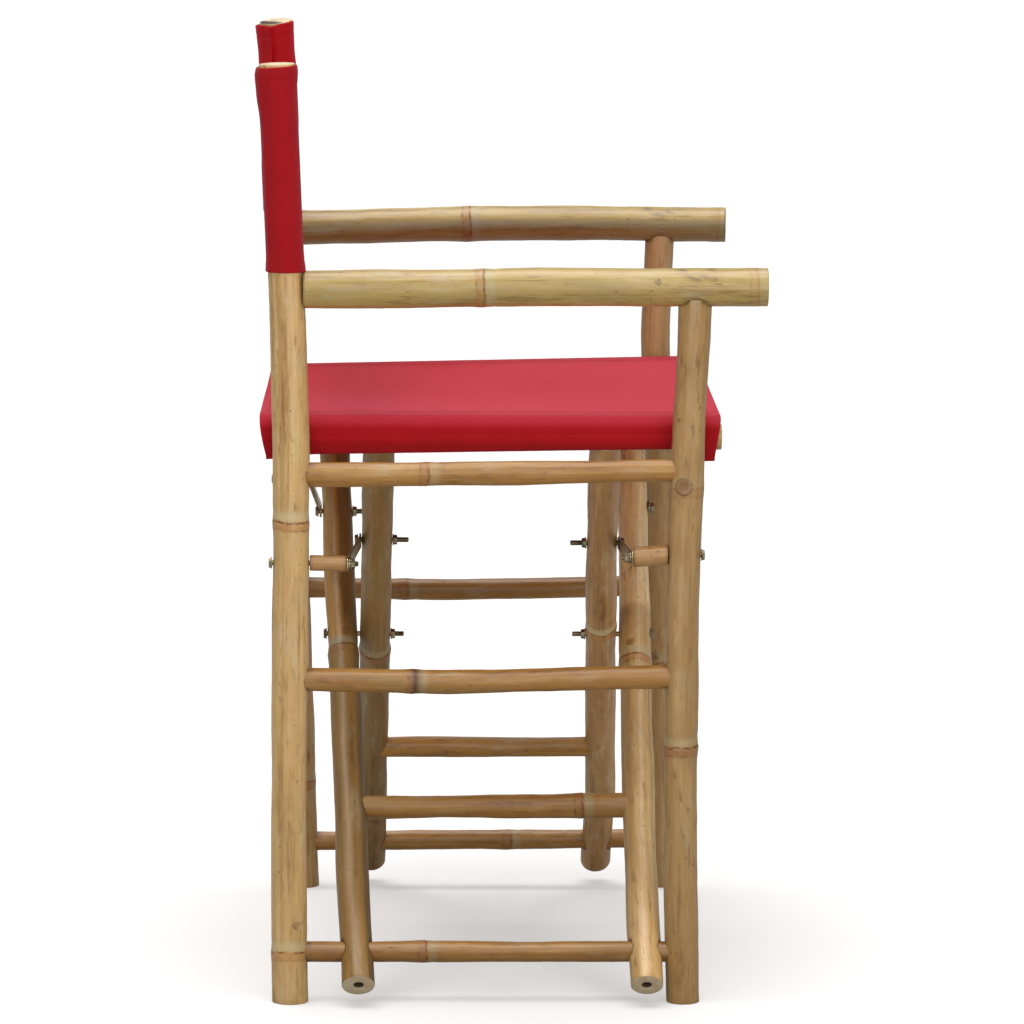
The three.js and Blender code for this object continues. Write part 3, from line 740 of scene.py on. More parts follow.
LEGS = {
    "leg_b_rear": dict(knots=[(0.350, 1.6), (0.610, 0.8)], tone=0.56, flutes=[(-1.2, 0.9 * MM, 0.36, 0.6)],
                       finish="bamboo_moss", shades=[(-2.5, 0.95, 0.36, 1, 0.8), (-0.3, 0.6, -1, 0.36, -0.3),
                                                     (-2.2, 1.3, -1, 0.36, 0.15)],
                       scars=[(-1.4, 0.366, 4 * MM)]),
    "leg_b_front": dict(knots=[(0.338, 1.3), (0.600, 0.8)], tone=1.0, finish="bamboo_pale",
                        scars=[(-1.9, 0.353, 4 * MM)],
                        shades=[(0, 9, 0.40, 1, 0.6), (-2.45, 0.5, -1, 0.40, -0.25)]),
    "leg_a_rear": dict(knots=[(0.351, 1.8)], tone=0.78, finish="bamboo_olive",
                       flutes=[(-0.9, 0.8 * MM, 0.36, 0.63)]),
    "leg_a_front": dict(knots=[(0.390, 1.1)], tone=1.45,
                        shades=[(0, 9, 0.42, 1, -0.18)]),
}
RAIL_SIDES = 36
ARM_SUNK = 1.2 * MM  # how far an armrest's end reaches past the rear post's skin
NOTCH_SHORT = 0.2 * MM  # how much less deep the hollow in the post is, so that no light comes through
ARM_HIGH = 0.67  # about the height of the armrests


def stand_for(piece, node):
    """Puts a piece in the place of a node, on the same body, and hides the node."""
    bodies = frame["record"]["behaviour"]["bodies"]
    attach(piece, next(body for body, nodes in bodies.items() if node in nodes))
    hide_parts(node)


LINES = {}
for node, facts in {**POSTS, **RAILS, **LEGS}.items():
    if node in LEGS:
        letter = node[4]
        origin, way = AXLE[letter], CROSSING - AXLE[letter]
        way[0] = 0
    elif node in RAILS:
        origin, way = np.zeros(3), (1, 0, 0)
    else:
        origin, way = np.zeros(3), (0, 0, 1)
    LINES[node] = Line(node, origin, way, facts["knots"])
# Small corrections in mm: how far a rail stands higher at its rear and front ends, and how much fatter it is.
NUDGES = {
    "rung_b": (-2.6, -0.5, 0.0, 1.2),
    "rung_a": (-3.5, -3.3, 1.3, 1.3),
    "far_bottom_rail": (-1.7, 1.0, 0.0, 0.0),
    "near_upper_rail": (0.3, 0.9, 0.0, -0.9),
}
for node, (rise_rear, rise_front, fat_rear, fat_front) in NUDGES.items():
    line = LINES[node]
    share = np.clip((line.grid - line.low) / (line.high - line.low), 0, 1)
    line.values[1] += MM * lerp((rise_rear, rise_front), share)
    line.values[2] += MM * lerp((fat_rear, fat_front), smoothstep(share, 0.3, 1.0))
POST_EXTRA = {"near": 1.8 * MM, "far": 0.4 * MM}  # the rear posts stand this much taller than their nodes
for side in SIDE_Y:
    LINES[f"{side}_rear_post"].high += POST_EXTRA[side]
    arm, post = LINES[f"{side}_armrest"], LINES[f"{side}_rear_post"]
    height = arm.place(0)[2]
    arm.low = post.place(height)[0] + post.at(height)[2] - ARM_SUNK


def arm_notch(side):
    """Cuts the hollow in a rear post that the armrest's end sits in."""
    arm, post = LINES[f"{side}_armrest"], LINES[f"{side}_rear_post"]
    height = arm.place(arm.low + 20 * MM)[2]
    flank = post.place(height)[0] + post.at(height)[2]
    start = np.array((flank - ARM_SUNK + NOTCH_SHORT, SIDE_Y[side], height))
    return cutting_rod(start, arm.at(arm.low)[2] + 0.5 * MM, 30 * MM, round_end=1.5 * MM)


def arm_bed(side):
    """Cuts the saddle in the top of a front post that the armrest lies in."""
    arm, post = LINES[f"{side}_armrest"], LINES[f"{side}_front_post"]
    start = arm.place(post.place(ARM_HIGH)[0]) - np.array((60 * MM, 0, 0))
    return cutting_rod(start, arm.at(0.1)[2] + 0.25 * MM, 120 * MM)


def axle_hole(node):
    """Cuts the hole in a leg's foot that the bottom rail runs through."""
    letter = node[4]
    rail = LINES["near_bottom_rail" if letter == "b" else "far_bottom_rail"]
    leg_x = LINES[node].place(0.0)[0]
    start = np.array((leg_x - 30 * MM, *AXLE[letter][1:]))
    return cutting_rod(start, rail.at(leg_x)[2] + 0.9 * MM, 60 * MM)


for number, (node, facts) in enumerate(POSTS.items()):
    side, end = node.split("_")[:2]
    cutter = arm_notch(side) if end == "rear" else arm_bed(side)
    culm(node, number, cut=cutter, piths=(5 * MM, 0), **facts)
for number, (node, facts) in enumerate(RAILS.items()):
    side = node.split("_")[0]
    joined = [LINES[f"{side}_{end}_post"] for end in ("rear", "front")] if side in SIDE_Y else []
    culm(node, 20 + number, joined=joined, sides=RAIL_SIDES, **facts)
for number, (node, facts) in enumerate(LEGS.items()):
    facts = {"finish": "bamboo_brown", **facts}
    culm(node, 40 + number, cut=axle_hole(node), piths=(5 * MM, 0), **facts)


# ---------------------------------------------------------------- hardware

# The post bolts sit and hang a little off level: (rise at the post, further rise per metre inwards).
POST_BOLT_RISE = {"near_rear": (-1.3 * MM, -0.02), "near_front": (0.7 * MM, -0.07)}
LEG_BOLT_RISE = {
    "near_rear": 3.2 * MM, "near_front": -3.0 * MM,
    "far_rear": -3.0 * MM, "far_front": -2.5 * MM,
}
HEX_FLAT = 8.2 * MM  # across the flats of the bolt heads and nuts
HEX_CROWN = 0.94 * HEX_FLAT / 2
HEAD_HIGH = 3.2 * MM
FLANGE_R = 5.6 * MM
FLANGE_HIGH = 1.0 * MM
FLANGE = [(0.0, FLANGE_R - 0.25 * MM), (0.2 * MM, FLANGE_R),
          (0.75 * MM, FLANGE_R), (FLANGE_HIGH, FLANGE_R - 0.3 * MM)]
THREAD_R = 2.6 * MM
THREAD_PITCH = 0.8 * MM
THREAD_DEPTH = 0.38 * MM
THREADED = 20 * MM
LINK_THICK = 2 * MM
LINK_WIDE = 12 * MM


def corner_of(node):
    """Which corner of the chair a piece of the hardware is at, such as near_rear."""
    return "_".join(node.split("_")[:2])


def outward(node):
    return 1 if "front" in node else -1


def leg_at(corner):
    """The line of the leg that the link at a corner is bolted to."""
    side, end = corner.split("_")
    return LINES[f"leg_{'a' if side == 'near' else 'b'}_{end}"]


def post_bolt_rise(corner, x, height):
    """How far the post's bolt is off its level CAD place at a place along X."""
    rise, slope = POST_BOLT_RISE.get(corner, (0, 0))
    return rise + slope * np.abs(x - LINES[f"{corner}_post"].place(height)[0])


def leg_flank(corner):
    """Where the outer side of a leg lies along X, beside its bolt for the link."""
    leg = leg_at(corner)
    along = (box_of(f"{corner}_leg_bolt")[2] - leg.origin) @ leg.way
    return leg.place(along)[0] + outward(corner) * leg.at(along)[2]


def settle(piece, node):
    """Moves a piece to where it sits on the pole, off its level CAD place, and lets it stand for its node."""
    corner = corner_of(node)
    points = points_of(piece.data)
    if "leg" in node:
        way = leg_at(corner).way
        points += way * LEG_BOLT_RISE[corner] / way[2]
    elif corner in POST_BOLT_RISE:
        points[:, 2] += post_bolt_rise(corner, points[:, 0], JOINT_AT[f"{corner}_link_pivot"][2])
    piece.data.vertices.foreach_set("co", points.ravel())
    stand_for(piece, node)


def turned_piece(name, rings, way, centre, material):
    """A closed piece along X through rings of (distance along `way`, radius or radii)."""
    angle = full_turn(ROUND_SIDES)
    points = []
    for along, radius in rings:
        radius = np.broadcast_to(radius, ROUND_SIDES)
        along = np.broadcast_to(along, ROUND_SIDES)
        points.append(np.stack([centre[0] + way * along, centre[1] + radius * np.cos(angle),
                                centre[2] + way * radius * np.sin(angle)], 1))
    piece = make_object(name, np.concatenate(points), ring_faces(len(rings), ROUND_SIDES), [material])
    sharpen(piece)
    return piece


def turned_steel(node, rings, way, centre, material):
    settle(turned_piece(f"{node}_steel", rings, way, centre, material), node)


def sharpen(piece, limit=math.radians(32)):
    """Keeps edges sharper than the limit crisp and smooths the rest."""
    work = bmesh.new()
    work.from_mesh(piece.data)
    for edge in work.edges:
        edge.smooth = edge.calc_face_angle(0.0) < limit
    work.to_mesh(piece.data)
    work.free()


def hex_rings(start, high):
    """Rings of a hexagon `high` tall from `start`, its outer corners taken off by a cone."""
    turn = (full_turn(ROUND_SIDES) + math.pi / 6) % (math.pi / 3) - math.pi / 6
    radius = HEX_FLAT / 2 / np.cos(turn)
    top = start + high - (radius - HEX_CROWN) * math.tan(math.radians(30))
    return [(start, radius - 0.15 * MM), (start + 0.15 * MM, radius),
            (top, radius), (start + high, HEX_CROWN)]


def thread_rings(start, end):
    """Rings of a screw thread, each point's radius set by how far the helix has come round."""
    angle = np.arange(ROUND_SIDES) / ROUND_SIDES
    rings = []
    for along in np.arange(start, end - 0.6 * MM, THREAD_PITCH / 6):
        turn = (along / THREAD_PITCH - angle) % 1
        rings.append((along, THREAD_R - THREAD_DEPTH * np.abs(2 * turn - 1)))
    rings.append((end - 0.5 * MM, THREAD_R - THREAD_DEPTH))
    rings.append((end, THREAD_R - 2.2 * THREAD_DEPTH))
    return rings


def span_of(node):
    """The outer end of a bolt or nut along X, its length, and its middle in the other two directions."""
    low, high, centre = box_of(node)
    return (high if outward(node) > 0 else low)[0], high[0] - low[0], centre[1:]


def steel_bolt(node):
    start, long, centre = span_of(node)
    out = outward(node)
    if node.endswith("leg_bolt"):
        # The head sits on the link, which lies on the leg.
        raised = leg_flank(corner_of(node)) + out * (0.5 * MM + LINK_THICK + HEAD_HIGH + 0.9 * MM)
        long, start = long + out * (raised - start), raised
    rings = [(0.0, HEX_CROWN - 0.9 * MM)]
    for part in (hex_rings(FLANGE_HIGH, HEAD_HIGH - FLANGE_HIGH), FLANGE):
        rings += [(HEAD_HIGH - along, radius) for along, radius in reversed(part)]
    rings.append((HEAD_HIGH + 0.1 * MM, THREAD_R - 0.2 * MM))
    rings += thread_rings(max(long - THREADED, HEAD_HIGH + 1 * MM), long)
    turned_steel(node, rings, -out, (start, *centre), STEEL)


def steel_nut(node):
    start, long, centre = span_of(node)
    bore = THREAD_R + 0.15 * MM
    rings = FLANGE + hex_rings(FLANGE_HIGH, long - FLANGE_HIGH)
    rings += [(long, bore + 0.5 * MM), (long - 0.5 * MM, bore), (0.3 * MM, bore)]
    turned_steel(node, rings, -outward(node), (start, *centre), STEEL)


def steel_washer(node):
    low, high, centre = box_of(node)
    thick = high[0] - low[0]
    outer, bore = (high[2] - low[2]) / 2, THREAD_R + 0.3 * MM
    half = [(0.2 * MM, bore), (0.0, bore + 0.2 * MM), (0.0, outer - 0.3 * MM), (0.25 * MM, outer)]
    rings = half + [(thick - along, radius) for along, radius in reversed(half)]
    turned_steel(node, rings, 1, (low[0], *centre[1:]), YELLOW)


def steel_link(node):
    """A flat bar with round ends that slants from the post's bolt to the leg, under the leg bolt's head."""
    corner = corner_of(node)
    way = leg_at(corner).way
    start = JOINT_AT[f"{corner}_link_pivot"].copy()
    finish = box_of(f"{corner}_leg_bolt")[2] + way * LEG_BOLT_RISE[corner] / way[2]
    points = points_of(frame["nodes"][node].data)
    near = np.hypot(*(points[:, 1:] - start[1:]).T) < LINK_WIDE
    start[0] = points[near, 0].mean()
    start[2] += post_bolt_rise(corner, start[0], start[2])
    finish[0] = leg_flank(corner) + outward(node) * (0.3 * MM + LINK_THICK / 2)
    span = finish[1:] - start[1:]
    length = np.linalg.norm(span)
    way = np.array((0, *(span / length)))
    flat = np.cross((1, 0, 0), way)
    half = LINK_WIDE / 2
    ends = half * (1 - np.cos(np.linspace(0, math.pi / 2, 9)))
    spots = np.concatenate([-half + ends, np.linspace(0, length, 26)[1:-1], (length + half - ends)[::-1]])
    edge = 0.35 * MM
    points = []
    for spot in spots:
        over = max(0.0, -spot, spot - length)
        reach = math.sqrt(max(half ** 2 - over ** 2, (0.4 * MM) ** 2))
        out = lerp((start[0], finish[0]), float(np.clip((spot / length - 0.07) / 0.86, 0, 1)))
        profile = [(-1, -reach + edge), (-1, reach - edge), (-0.6, reach), (0.6, reach),
                   (1, reach - edge), (1, -reach + edge), (0.6, -reach), (-0.6, -reach)]
        base = np.array((0, *start[1:])) + way * spot
        points += [base + flat * along + np.array((out + across * LINK_THICK / 2, 0, 0))
                   for across, along in profile]
    link = make_object(f"{node}_steel", points, ring_faces(len(spots), len(profile)), [STEEL])
    face_out(link.data)
    sharpen(link)
    stand_for(link, node)


def spacer_tube(node):
    """A short bamboo tube that the post's bolt runs through."""
    low, high, centre = box_of(node)
    long, outer, bore = high[0] - low[0], (high[2] - low[2]) / 2, 3.1 * MM
    angle = full_turn(ROUND_SIDES)
    skin = outer * (1 + 0.012 * np.cos(2 * angle + 0.6) + 0.006 * np.cos(5 * angle))
    rim = [(1.5 * MM, bore), (0.0, bore + 0.4 * MM), (0.0, skin - 0.8 * MM), (0.25 * MM, skin - 0.2 * MM)]
    body = [(share * long, skin * (1 + 0.01 * math.sin(9 * share))) for share in np.linspace(0.04, 0.96, 14)]
    rings = rim + body + [(long - along, radius) for along, radius in reversed(rim)]
    tube = turned_piece(f"{node}_bamboo", rings, 1, (low[0], *centre[1:]), BAMBOO["bamboo_brown"])
    mesh = tube.data
    mesh.materials.append(CUT_WOOD)
    points = points_of(mesh) - np.array((low[0], *centre[1:]))
    along, reach = points[:, 0], np.hypot(points[:, 1], points[:, 2])
    paint(mesh, "grain", np.stack([points[:, 1] + 5.2, points[:, 2] + 1.7, along + 3.3], 1))
    # Painted shade: the tube darkens towards both ends, where it meets its neighbours, and its sawn faces darken
    # towards the bore.
    values = {"knot": 1.0, "knot_level": 0.0, "scar": 9.0, "tone": 0.95,
              "grime": bell(np.minimum(along, long - along), 1.4 * MM),
              "inside": 1 - smoothstep(reach, bore + 1 * MM, outer - 1 * MM)}
    for name, value in values.items():
        paint(mesh, name, np.broadcast_to(value, len(points)))
    for face in mesh.polygons:
        if (outer - reach[list(face.vertices)]).mean() > 0.7 * MM:
            face.material_index = 1
    settle(tube, node)


MAKERS = {
    "bolt": steel_bolt, "nut": steel_nut, "washer": steel_washer,
    "link": steel_link, "spacer": spacer_tube,
}
for node in sorted(frame["nodes"]):
    kind = node.split("_")[-1]
    if kind in MAKERS:
        MAKERS[kind](node)


# ---------------------------------------------------------------- canvas

class Cloth:
    """Collects layers of cloth and stitches, and makes them into one object."""

    def __init__(self):
        self.points, self.faces, self.cloth, self.kinds = [], [], [], []
        self.count = 0

    def push(self, points, faces, cloth, kind):
        self.points.append(points)
        self.cloth.append(cloth)
        self.faces += [tuple(i + self.count for i in face) for face in faces]
        self.kinds += [kind] * len(faces)
        self.count += len(points)

    def layer(self, grid, cloth, thick, round_way=False):
        """A closed layer: the grid is its outer face, and its inner face lies `thick` behind."""
        rows, cols = grid.shape[:2]
        thick = np.broadcast_to(thick, (rows, cols))[..., None]
        normals = grid_normals(grid, round_way)
        back, mid = grid - normals * thick, grid - normals * thick / 2
        total = rows * cols
        faces = []
        wrap = cols if round_way else cols - 1
        for i in range(rows - 1):
            for j in range(wrap):
                a, b = i * cols + j, i * cols + (j + 1) % cols
                c, d = b + cols, a + cols
                faces.append((a, b, c, d))
                faces.append((d + total, c + total, b + total, a + total))
        rim = [[(0, j) for j in range(cols)], [(rows - 1, j) for j in reversed(range(cols))]]
        if not round_way:
            rim = [rim[0] + [(i, cols - 1) for i in range(1, rows)] + rim[1][1:]
                   + [(i, 0) for i in range(rows - 2, 0, -1)]]
        # The edges bulge a little between the two faces.
        edge = []
        for loop in rim:
            start = 2 * total + len(edge)
            for i, j in loop:
                inner_j = j if round_way else min(max(j, 1), cols - 2)
                out = grid[i, j] - grid[min(max(i, 1), rows - 2), inner_j]
                edge.append(mid[i, j] + 0.3 * thick[i, j] * unit(out))
            for k, (i, j) in enumerate(loop):
                after = (k + 1) % len(loop)
                a, b = i * cols + j, loop[after][0] * cols + loop[after][1]
                e, f = start + k, start + after
                faces.append((b, a, e, f))
                faces.append((f, e, a + total, b + total))
        flat = cloth.reshape(-1, 2)
        whole = np.concatenate([flat, flat + 0.37, [cloth[i, j] for loop in rim for i, j in loop]])
        self.push(np.concatenate([grid.reshape(-1, 3), back.reshape(-1, 3), edge]), faces,
                  np.c_[whole, np.zeros(len(whole))], 0)

    def stitches(self, path, normals):
        """A row of small sewn stitches along a path that lies on the cloth."""
        steps = np.linalg.norm(np.diff(path, axis=0), axis=1)
        reach = np.concatenate([[0], np.cumsum(steps)])
        for start in np.arange(STITCH_PITCH / 2, reach[-1] - STITCH_PITCH, STITCH_PITCH):
            ends = [np.array([np.interp(start + s, reach, path[:, k]) for k in range(3)])
                    for s in (0, STITCH_LONG)]
            up = unit([np.interp(start, reach, normals[:, k]) for k in range(3)])
            way = unit(ends[1] - ends[0])
            side = np.cross(way, up)
            points = []
            for share, size, lift in ((0, 0.35, -0.5), (0.2, 0.9, 0.4), (0.5, 1.0, 0.75), (0.8, 0.9, 0.4),
                                      (1, 0.35, -0.5)):
                centre = lerp(ends, share) + up * STITCH_R * lift
                points += [centre + size * STITCH_R * (math.cos(a) * side + math.sin(a) * up)
                           for a in full_turn(STITCH_SIDES)]
            self.push(np.array(points), ring_faces(5, STITCH_SIDES), np.array(points), 1)

    def make(self, name, fade, sheen_above=9.0, skin=CANVAS):
        """The object. Its colour is scaled by a level that is partly the cloth's own lightness and partly painted
        light, and above a height it gets a painted sheen.
        """
        points = np.concatenate(self.points)
        piece = make_object(name, points, self.faces, [skin, THREAD])
        mesh = piece.data
        paint(mesh, "fade", np.full(len(points), fade))
        # Painted sheen on the seat's top, above a height.
        bleach = 0.33 * smoothstep(points[:, 2], sheen_above, sheen_above + 8 * MM)
        paint(mesh, "bleach", bleach)
        paint(mesh, "cloth", np.concatenate(self.cloth))
        mesh.polygons.foreach_set("material_index", self.kinds)
        face_out(mesh)
        return piece


def grid_normals(grid, round_way):
    """Unit normals of a grid of points, out of the face whose rows run first and columns second."""
    down = np.gradient(grid, axis=0)
    if round_way:
        across = (np.roll(grid, -1, 1) - np.roll(grid, 1, 1)) / 2
    else:
        across = np.gradient(grid, axis=1)
    normal = np.cross(across, down)
    return normal / np.maximum(np.linalg.norm(normal, axis=2, keepdims=True), 1e-12)


def cloth_grid(grid):
    """Flat distances along the rows and columns of a grid, for the weave."""
    step_r = np.linalg.norm(np.diff(grid, axis=0), axis=2)
    step_c = np.linalg.norm(np.diff(grid, axis=1), axis=2)
    v = np.concatenate([np.zeros((1, grid.shape[1])), np.cumsum(step_r, 0)])
    u = np.concatenate([np.zeros((grid.shape[0], 1)), np.cumsum(step_c, 1)], 1)
    return np.stack([u, v], 2)


def soft_waves(shape, scale, seed, count=7):
    """Smooth low waves over a grid, from about -1 to 1."""
    draw = np.random.default_rng(SEED + seed)
    rows, cols = np.meshgrid(np.linspace(0, 1, shape[0]), np.linspace(0, 1, shape[1]), indexing="ij")
    total = np.zeros(shape)
    for _ in range(count):
        a, b, phase = draw.uniform(-scale, scale), draw.uniform(-scale, scale), draw.uniform(0, 6.28)
        total += np.sin(2 * math.pi * (a * rows + b * cols) + phase)
    return total / math.sqrt(count)


# The seat: the top's height over each rail, the skirts and the hems. X runs from the rear edge forward.
SKIRT_Y = {"near": NEAR_Y + 18.9 * MM, "far": FAR_Y - 18.9 * MM}
SEAT_BEND = 14 * MM
SEAT_TOP = {"near": (552.6 * MM, 552.2 * MM), "far": (539.0 * MM, 548.6 * MM)}  # rear, front
SEAT_HEM = {"near": (514.6 * MM, 521.8 * MM), "far": (503.5 * MM, 512.0 * MM)}
SEAT_REAR = -218.7 * MM + X_SHIFT
SEAT_FRONT = 211.0 * MM + X_SHIFT
TUCK_TALL, TUCK = 20 * MM, 6 * MM  # how far up a skirt starts to curve inwards, and how far in its hem is
SEAT_RAIL = {"near": "seat_rail_a", "far": "seat_rail_b"}


def skirt_y(side, x, height, hem):
    """A skirt's outer face: straight down, then curved in to its hem, but always outside the seat rail."""
    sign = math.copysign(1, SKIRT_Y[side])
    share = min(max(1 - (height - hem) / TUCK_TALL, 0), 1)
    rail = LINES[SEAT_RAIL[side]]
    centre = rail.place(x)
    reach = rail.at(x)[2] + CLOTH + 1.1 * MM
    held = sign * centre[1] + math.sqrt(max(reach ** 2 - (height - centre[2]) ** 2, 0))
    return sign * max(abs(SKIRT_Y[side]) - TUCK * share ** 2, held)


def seat_grid():
    """The outer face of the seat, from the near hem over the top to the far hem."""
    columns = np.concatenate([np.linspace(0, 0.04, 8)[:-1], np.linspace(0.04, 0.9, 70)[:-1],
                              np.linspace(0.9, 1, 16)])
    rows = []
    for share in columns:
        hem_n = lerp(SEAT_HEM["near"], share) + hem_drop(share)
        hem_f = lerp(SEAT_HEM["far"], share) + 0.6 * hem_drop(share)
        top_n, top_f = lerp(SEAT_TOP["near"], share), lerp(SEAT_TOP["far"], share)
        x = lerp((SEAT_REAR, SEAT_FRONT), share)
        bend = np.linspace(0, math.pi / 2, 13)
        heights = hem_n + np.linspace(0, top_n - SEAT_BEND - hem_n, 14)[:-1]
        path = [(skirt_y("near", x, height, hem_n), height) for height in heights]
        path += [(SKIRT_Y["near"] + SEAT_BEND * (1 - math.cos(a)), top_n - SEAT_BEND * (1 - math.sin(a)))
                 for a in bend]
        start_y, end_y = SKIRT_Y["near"] + SEAT_BEND, SKIRT_Y["far"] - SEAT_BEND
        for s in np.linspace(0, 1, 84)[1:-1]:
            sag = 3.2 * MM * math.sin(math.pi * s) ** 0.8
            path.append((lerp((start_y, end_y), s), lerp((top_n, top_f), s) - sag))
        path += [(SKIRT_Y["far"] - SEAT_BEND * (1 - math.sin(a)), top_f - SEAT_BEND * (1 - math.cos(a)))
                 for a in bend]
        heights = hem_f + np.linspace(top_f - SEAT_BEND - hem_f, 0, 14)[1:]
        path += [(skirt_y("far", x, height, hem_f), height) for height in heights]
        rows.append(path)
    grid = np.zeros((len(rows[0]), len(columns), 3))
    grid[:, :, 1:] = np.array(rows).transpose(1, 0, 2)
    y, z = grid[:, :, 1], grid[:, :, 2]
    # The free edges drift forward towards the far rail, and both draw in towards the hems.
    over = (y - SKIRT_Y["near"]) / (SKIRT_Y["far"] - SKIRT_Y["near"])
    below = np.clip((lerp(SEAT_TOP["near"], 0.5) - 4 * MM - z) / (34 * MM), 0, 1)
    rear = SEAT_REAR + 8.6 * MM * np.clip(over, 0, 2) ** 1.1 + 6.0 * MM * below ** 1.5
    front = SEAT_FRONT + 8 * MM * over - 5.2 * MM * below
    grid[:, :, 0] = lerp((rear, front), columns[None, :])
    grid[:, :, 2] += 0.55 * MM * soft_waves(grid.shape[:2], 3.0, 91) * smoothstep(np.abs(y), 0.232, 0.19)
    grid[:, :, 1] += 0.25 * MM * soft_waves(grid.shape[:2], 4.0, 92) * smoothstep(z, 0.545, 0.525)
    return grid


def hem_drop(share):
    """The hem hangs a little lower at both corners, most in front of the front post."""
    rear = -4.0 * MM * math.exp(-((share / 0.05) ** 2))
    front = -12.0 * MM * float(smoothstep(share, 0.915, 0.975))
    return rear + front


def sleeve_liner(cloth, side, x0, x1):
    """The inner side of a seat sleeve between two places: up from the hem behind the rail to the top."""
    sign = -1 if side == "near" else 1
    rail = LINES[SEAT_RAIL[side]]
    xs = np.linspace(x0, x1, 14)
    grid = np.zeros((26, len(xs), 3))
    for j, x in enumerate(xs):
        share = (x - SEAT_REAR) / (SEAT_FRONT - SEAT_REAR)
        hem = lerp(SEAT_HEM[side], share)
        top = lerp(SEAT_TOP[side], share) - CLOTH - 0.2 * MM
        centre = rail.place(x)[1:]
        reach = rail.at(x)[2] + 1.4 * MM
        inner = sign * (CLOTH + 0.2 * MM)
        path = [(skirt_y(side, x, hem + 5 * MM, hem) - inner, hem + 5 * MM),
                (skirt_y(side, x, hem + 1 * MM, hem) - 1.3 * inner, hem + 1 * MM),
                (skirt_y(side, x, hem, hem) - 3 * inner, hem + 0.3 * MM)]
        turns = np.linspace(-0.35 * math.pi, 0.42 * math.pi, 14)
        path += [(centre[0] - sign * reach * math.cos(a),
                  max(centre[1] + reach * math.sin(a), hem + 0.3 * MM)) for a in turns]
        path += [(centre[0] - sign * (reach + 4 * MM), top - 0.6 * MM),
                 (centre[0] - sign * (reach + 16 * MM), top)]
        grid[:, j, 0] = x
        grid[:, j, 1:] = even_path(np.array(path), 26)
    if sign > 0:
        grid = grid[::-1]
    cloth.layer(grid, cloth_grid(grid), CLOTH)


def even_path(path, count):
    """Points at even distances along a path."""
    reach = np.concatenate([[0], np.cumsum(np.linalg.norm(np.diff(path, axis=0), axis=1))])
    return np.stack([np.interp(np.linspace(0, reach[-1], count), reach, path[:, k]) for k in range(2)], 1)


def seat():
    cloth = Cloth()
    grid = seat_grid()
    flat = cloth_grid(grid)
    cloth.layer(grid, flat, CLOTH)
    normals = grid_normals(grid, False)
    rows, cols = grid.shape[:2]
    # Rows of stitches along the hems, and on the top along each sleeve's inner seam just inside the rail.
    seams = [row_at(grid[:, cols // 2, 1], y) for y in (SKIRT_Y["near"] + 34 * MM, SKIRT_Y["far"] - 34 * MM)]
    for row in (1, rows - 2, *seams):
        cloth.stitches(grid[row, 2:-2], normals[row, 2:-2])
    # The free edges are turned in and stitched.
    for col in (3, cols - 5):
        cloth.stitches(grid[4:-4, col], normals[4:-4, col])
    # Each sleeve is open where the legs' tops stand.
    clear = 18 * MM
    for side, letter in (("near", "a"), ("far", "b")):
        stops = [SEAT_REAR + 8 * MM]
        for end in ("rear", "front"):
            leg = LINES[f"leg_{letter}_{end}"]
            x = leg.place(leg.high)[0]
            stops += [x - clear, x + clear]
        stops.append(SEAT_FRONT - 6 * MM)
        for x0, x1 in zip(stops[::2], stops[1::2]):
            sleeve_liner(cloth, side, x0, x1)
    piece = cloth.make("seat_canvas_sewn", fade=0.9, sheen_above=0.54)
    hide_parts("seat_canvas")
    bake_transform(piece)


# The backrest.
BACK_LOW, BACK_HIGH = 690 * MM, 877 * MM
BACK_TALL = BACK_HIGH - BACK_LOW
BACK_MIDDLE = 0.78
PANEL_OUT = 23 * MM  # from the post's middle to where its sleeve closes and the panel starts
PANEL_SHIFT = {"near": -4.7 * MM, "far": -2.8 * MM}  # the panel's place along X beside each post's middle
SLEEVE_TOP = {"near": 879.4 * MM, "far": 878 * MM}
SLEEVE_SLANT = {"near": 0.07, "far": 0.12}
SLEEVE_WAY_ROUND = 0.118
SLEEVE_SIDES = 72


def sleeve_half(side, height):
    """Half the width of a sleeve along X: the near one has a fat hem, and both flare at the bottom."""
    top, bottom = SLEEVE_TOP[side] - height, height - BACK_LOW
    if side == "near":
        half = 17.6 * MM + 2.2 * MM * bell(top - 7 * MM, 10 * MM)
    else:
        half = 17 * MM + 1.1 * MM * (1 - smoothstep(top, 0, 45 * MM))
    return half + 1.1 * MM * bell(bottom, 10 * MM)


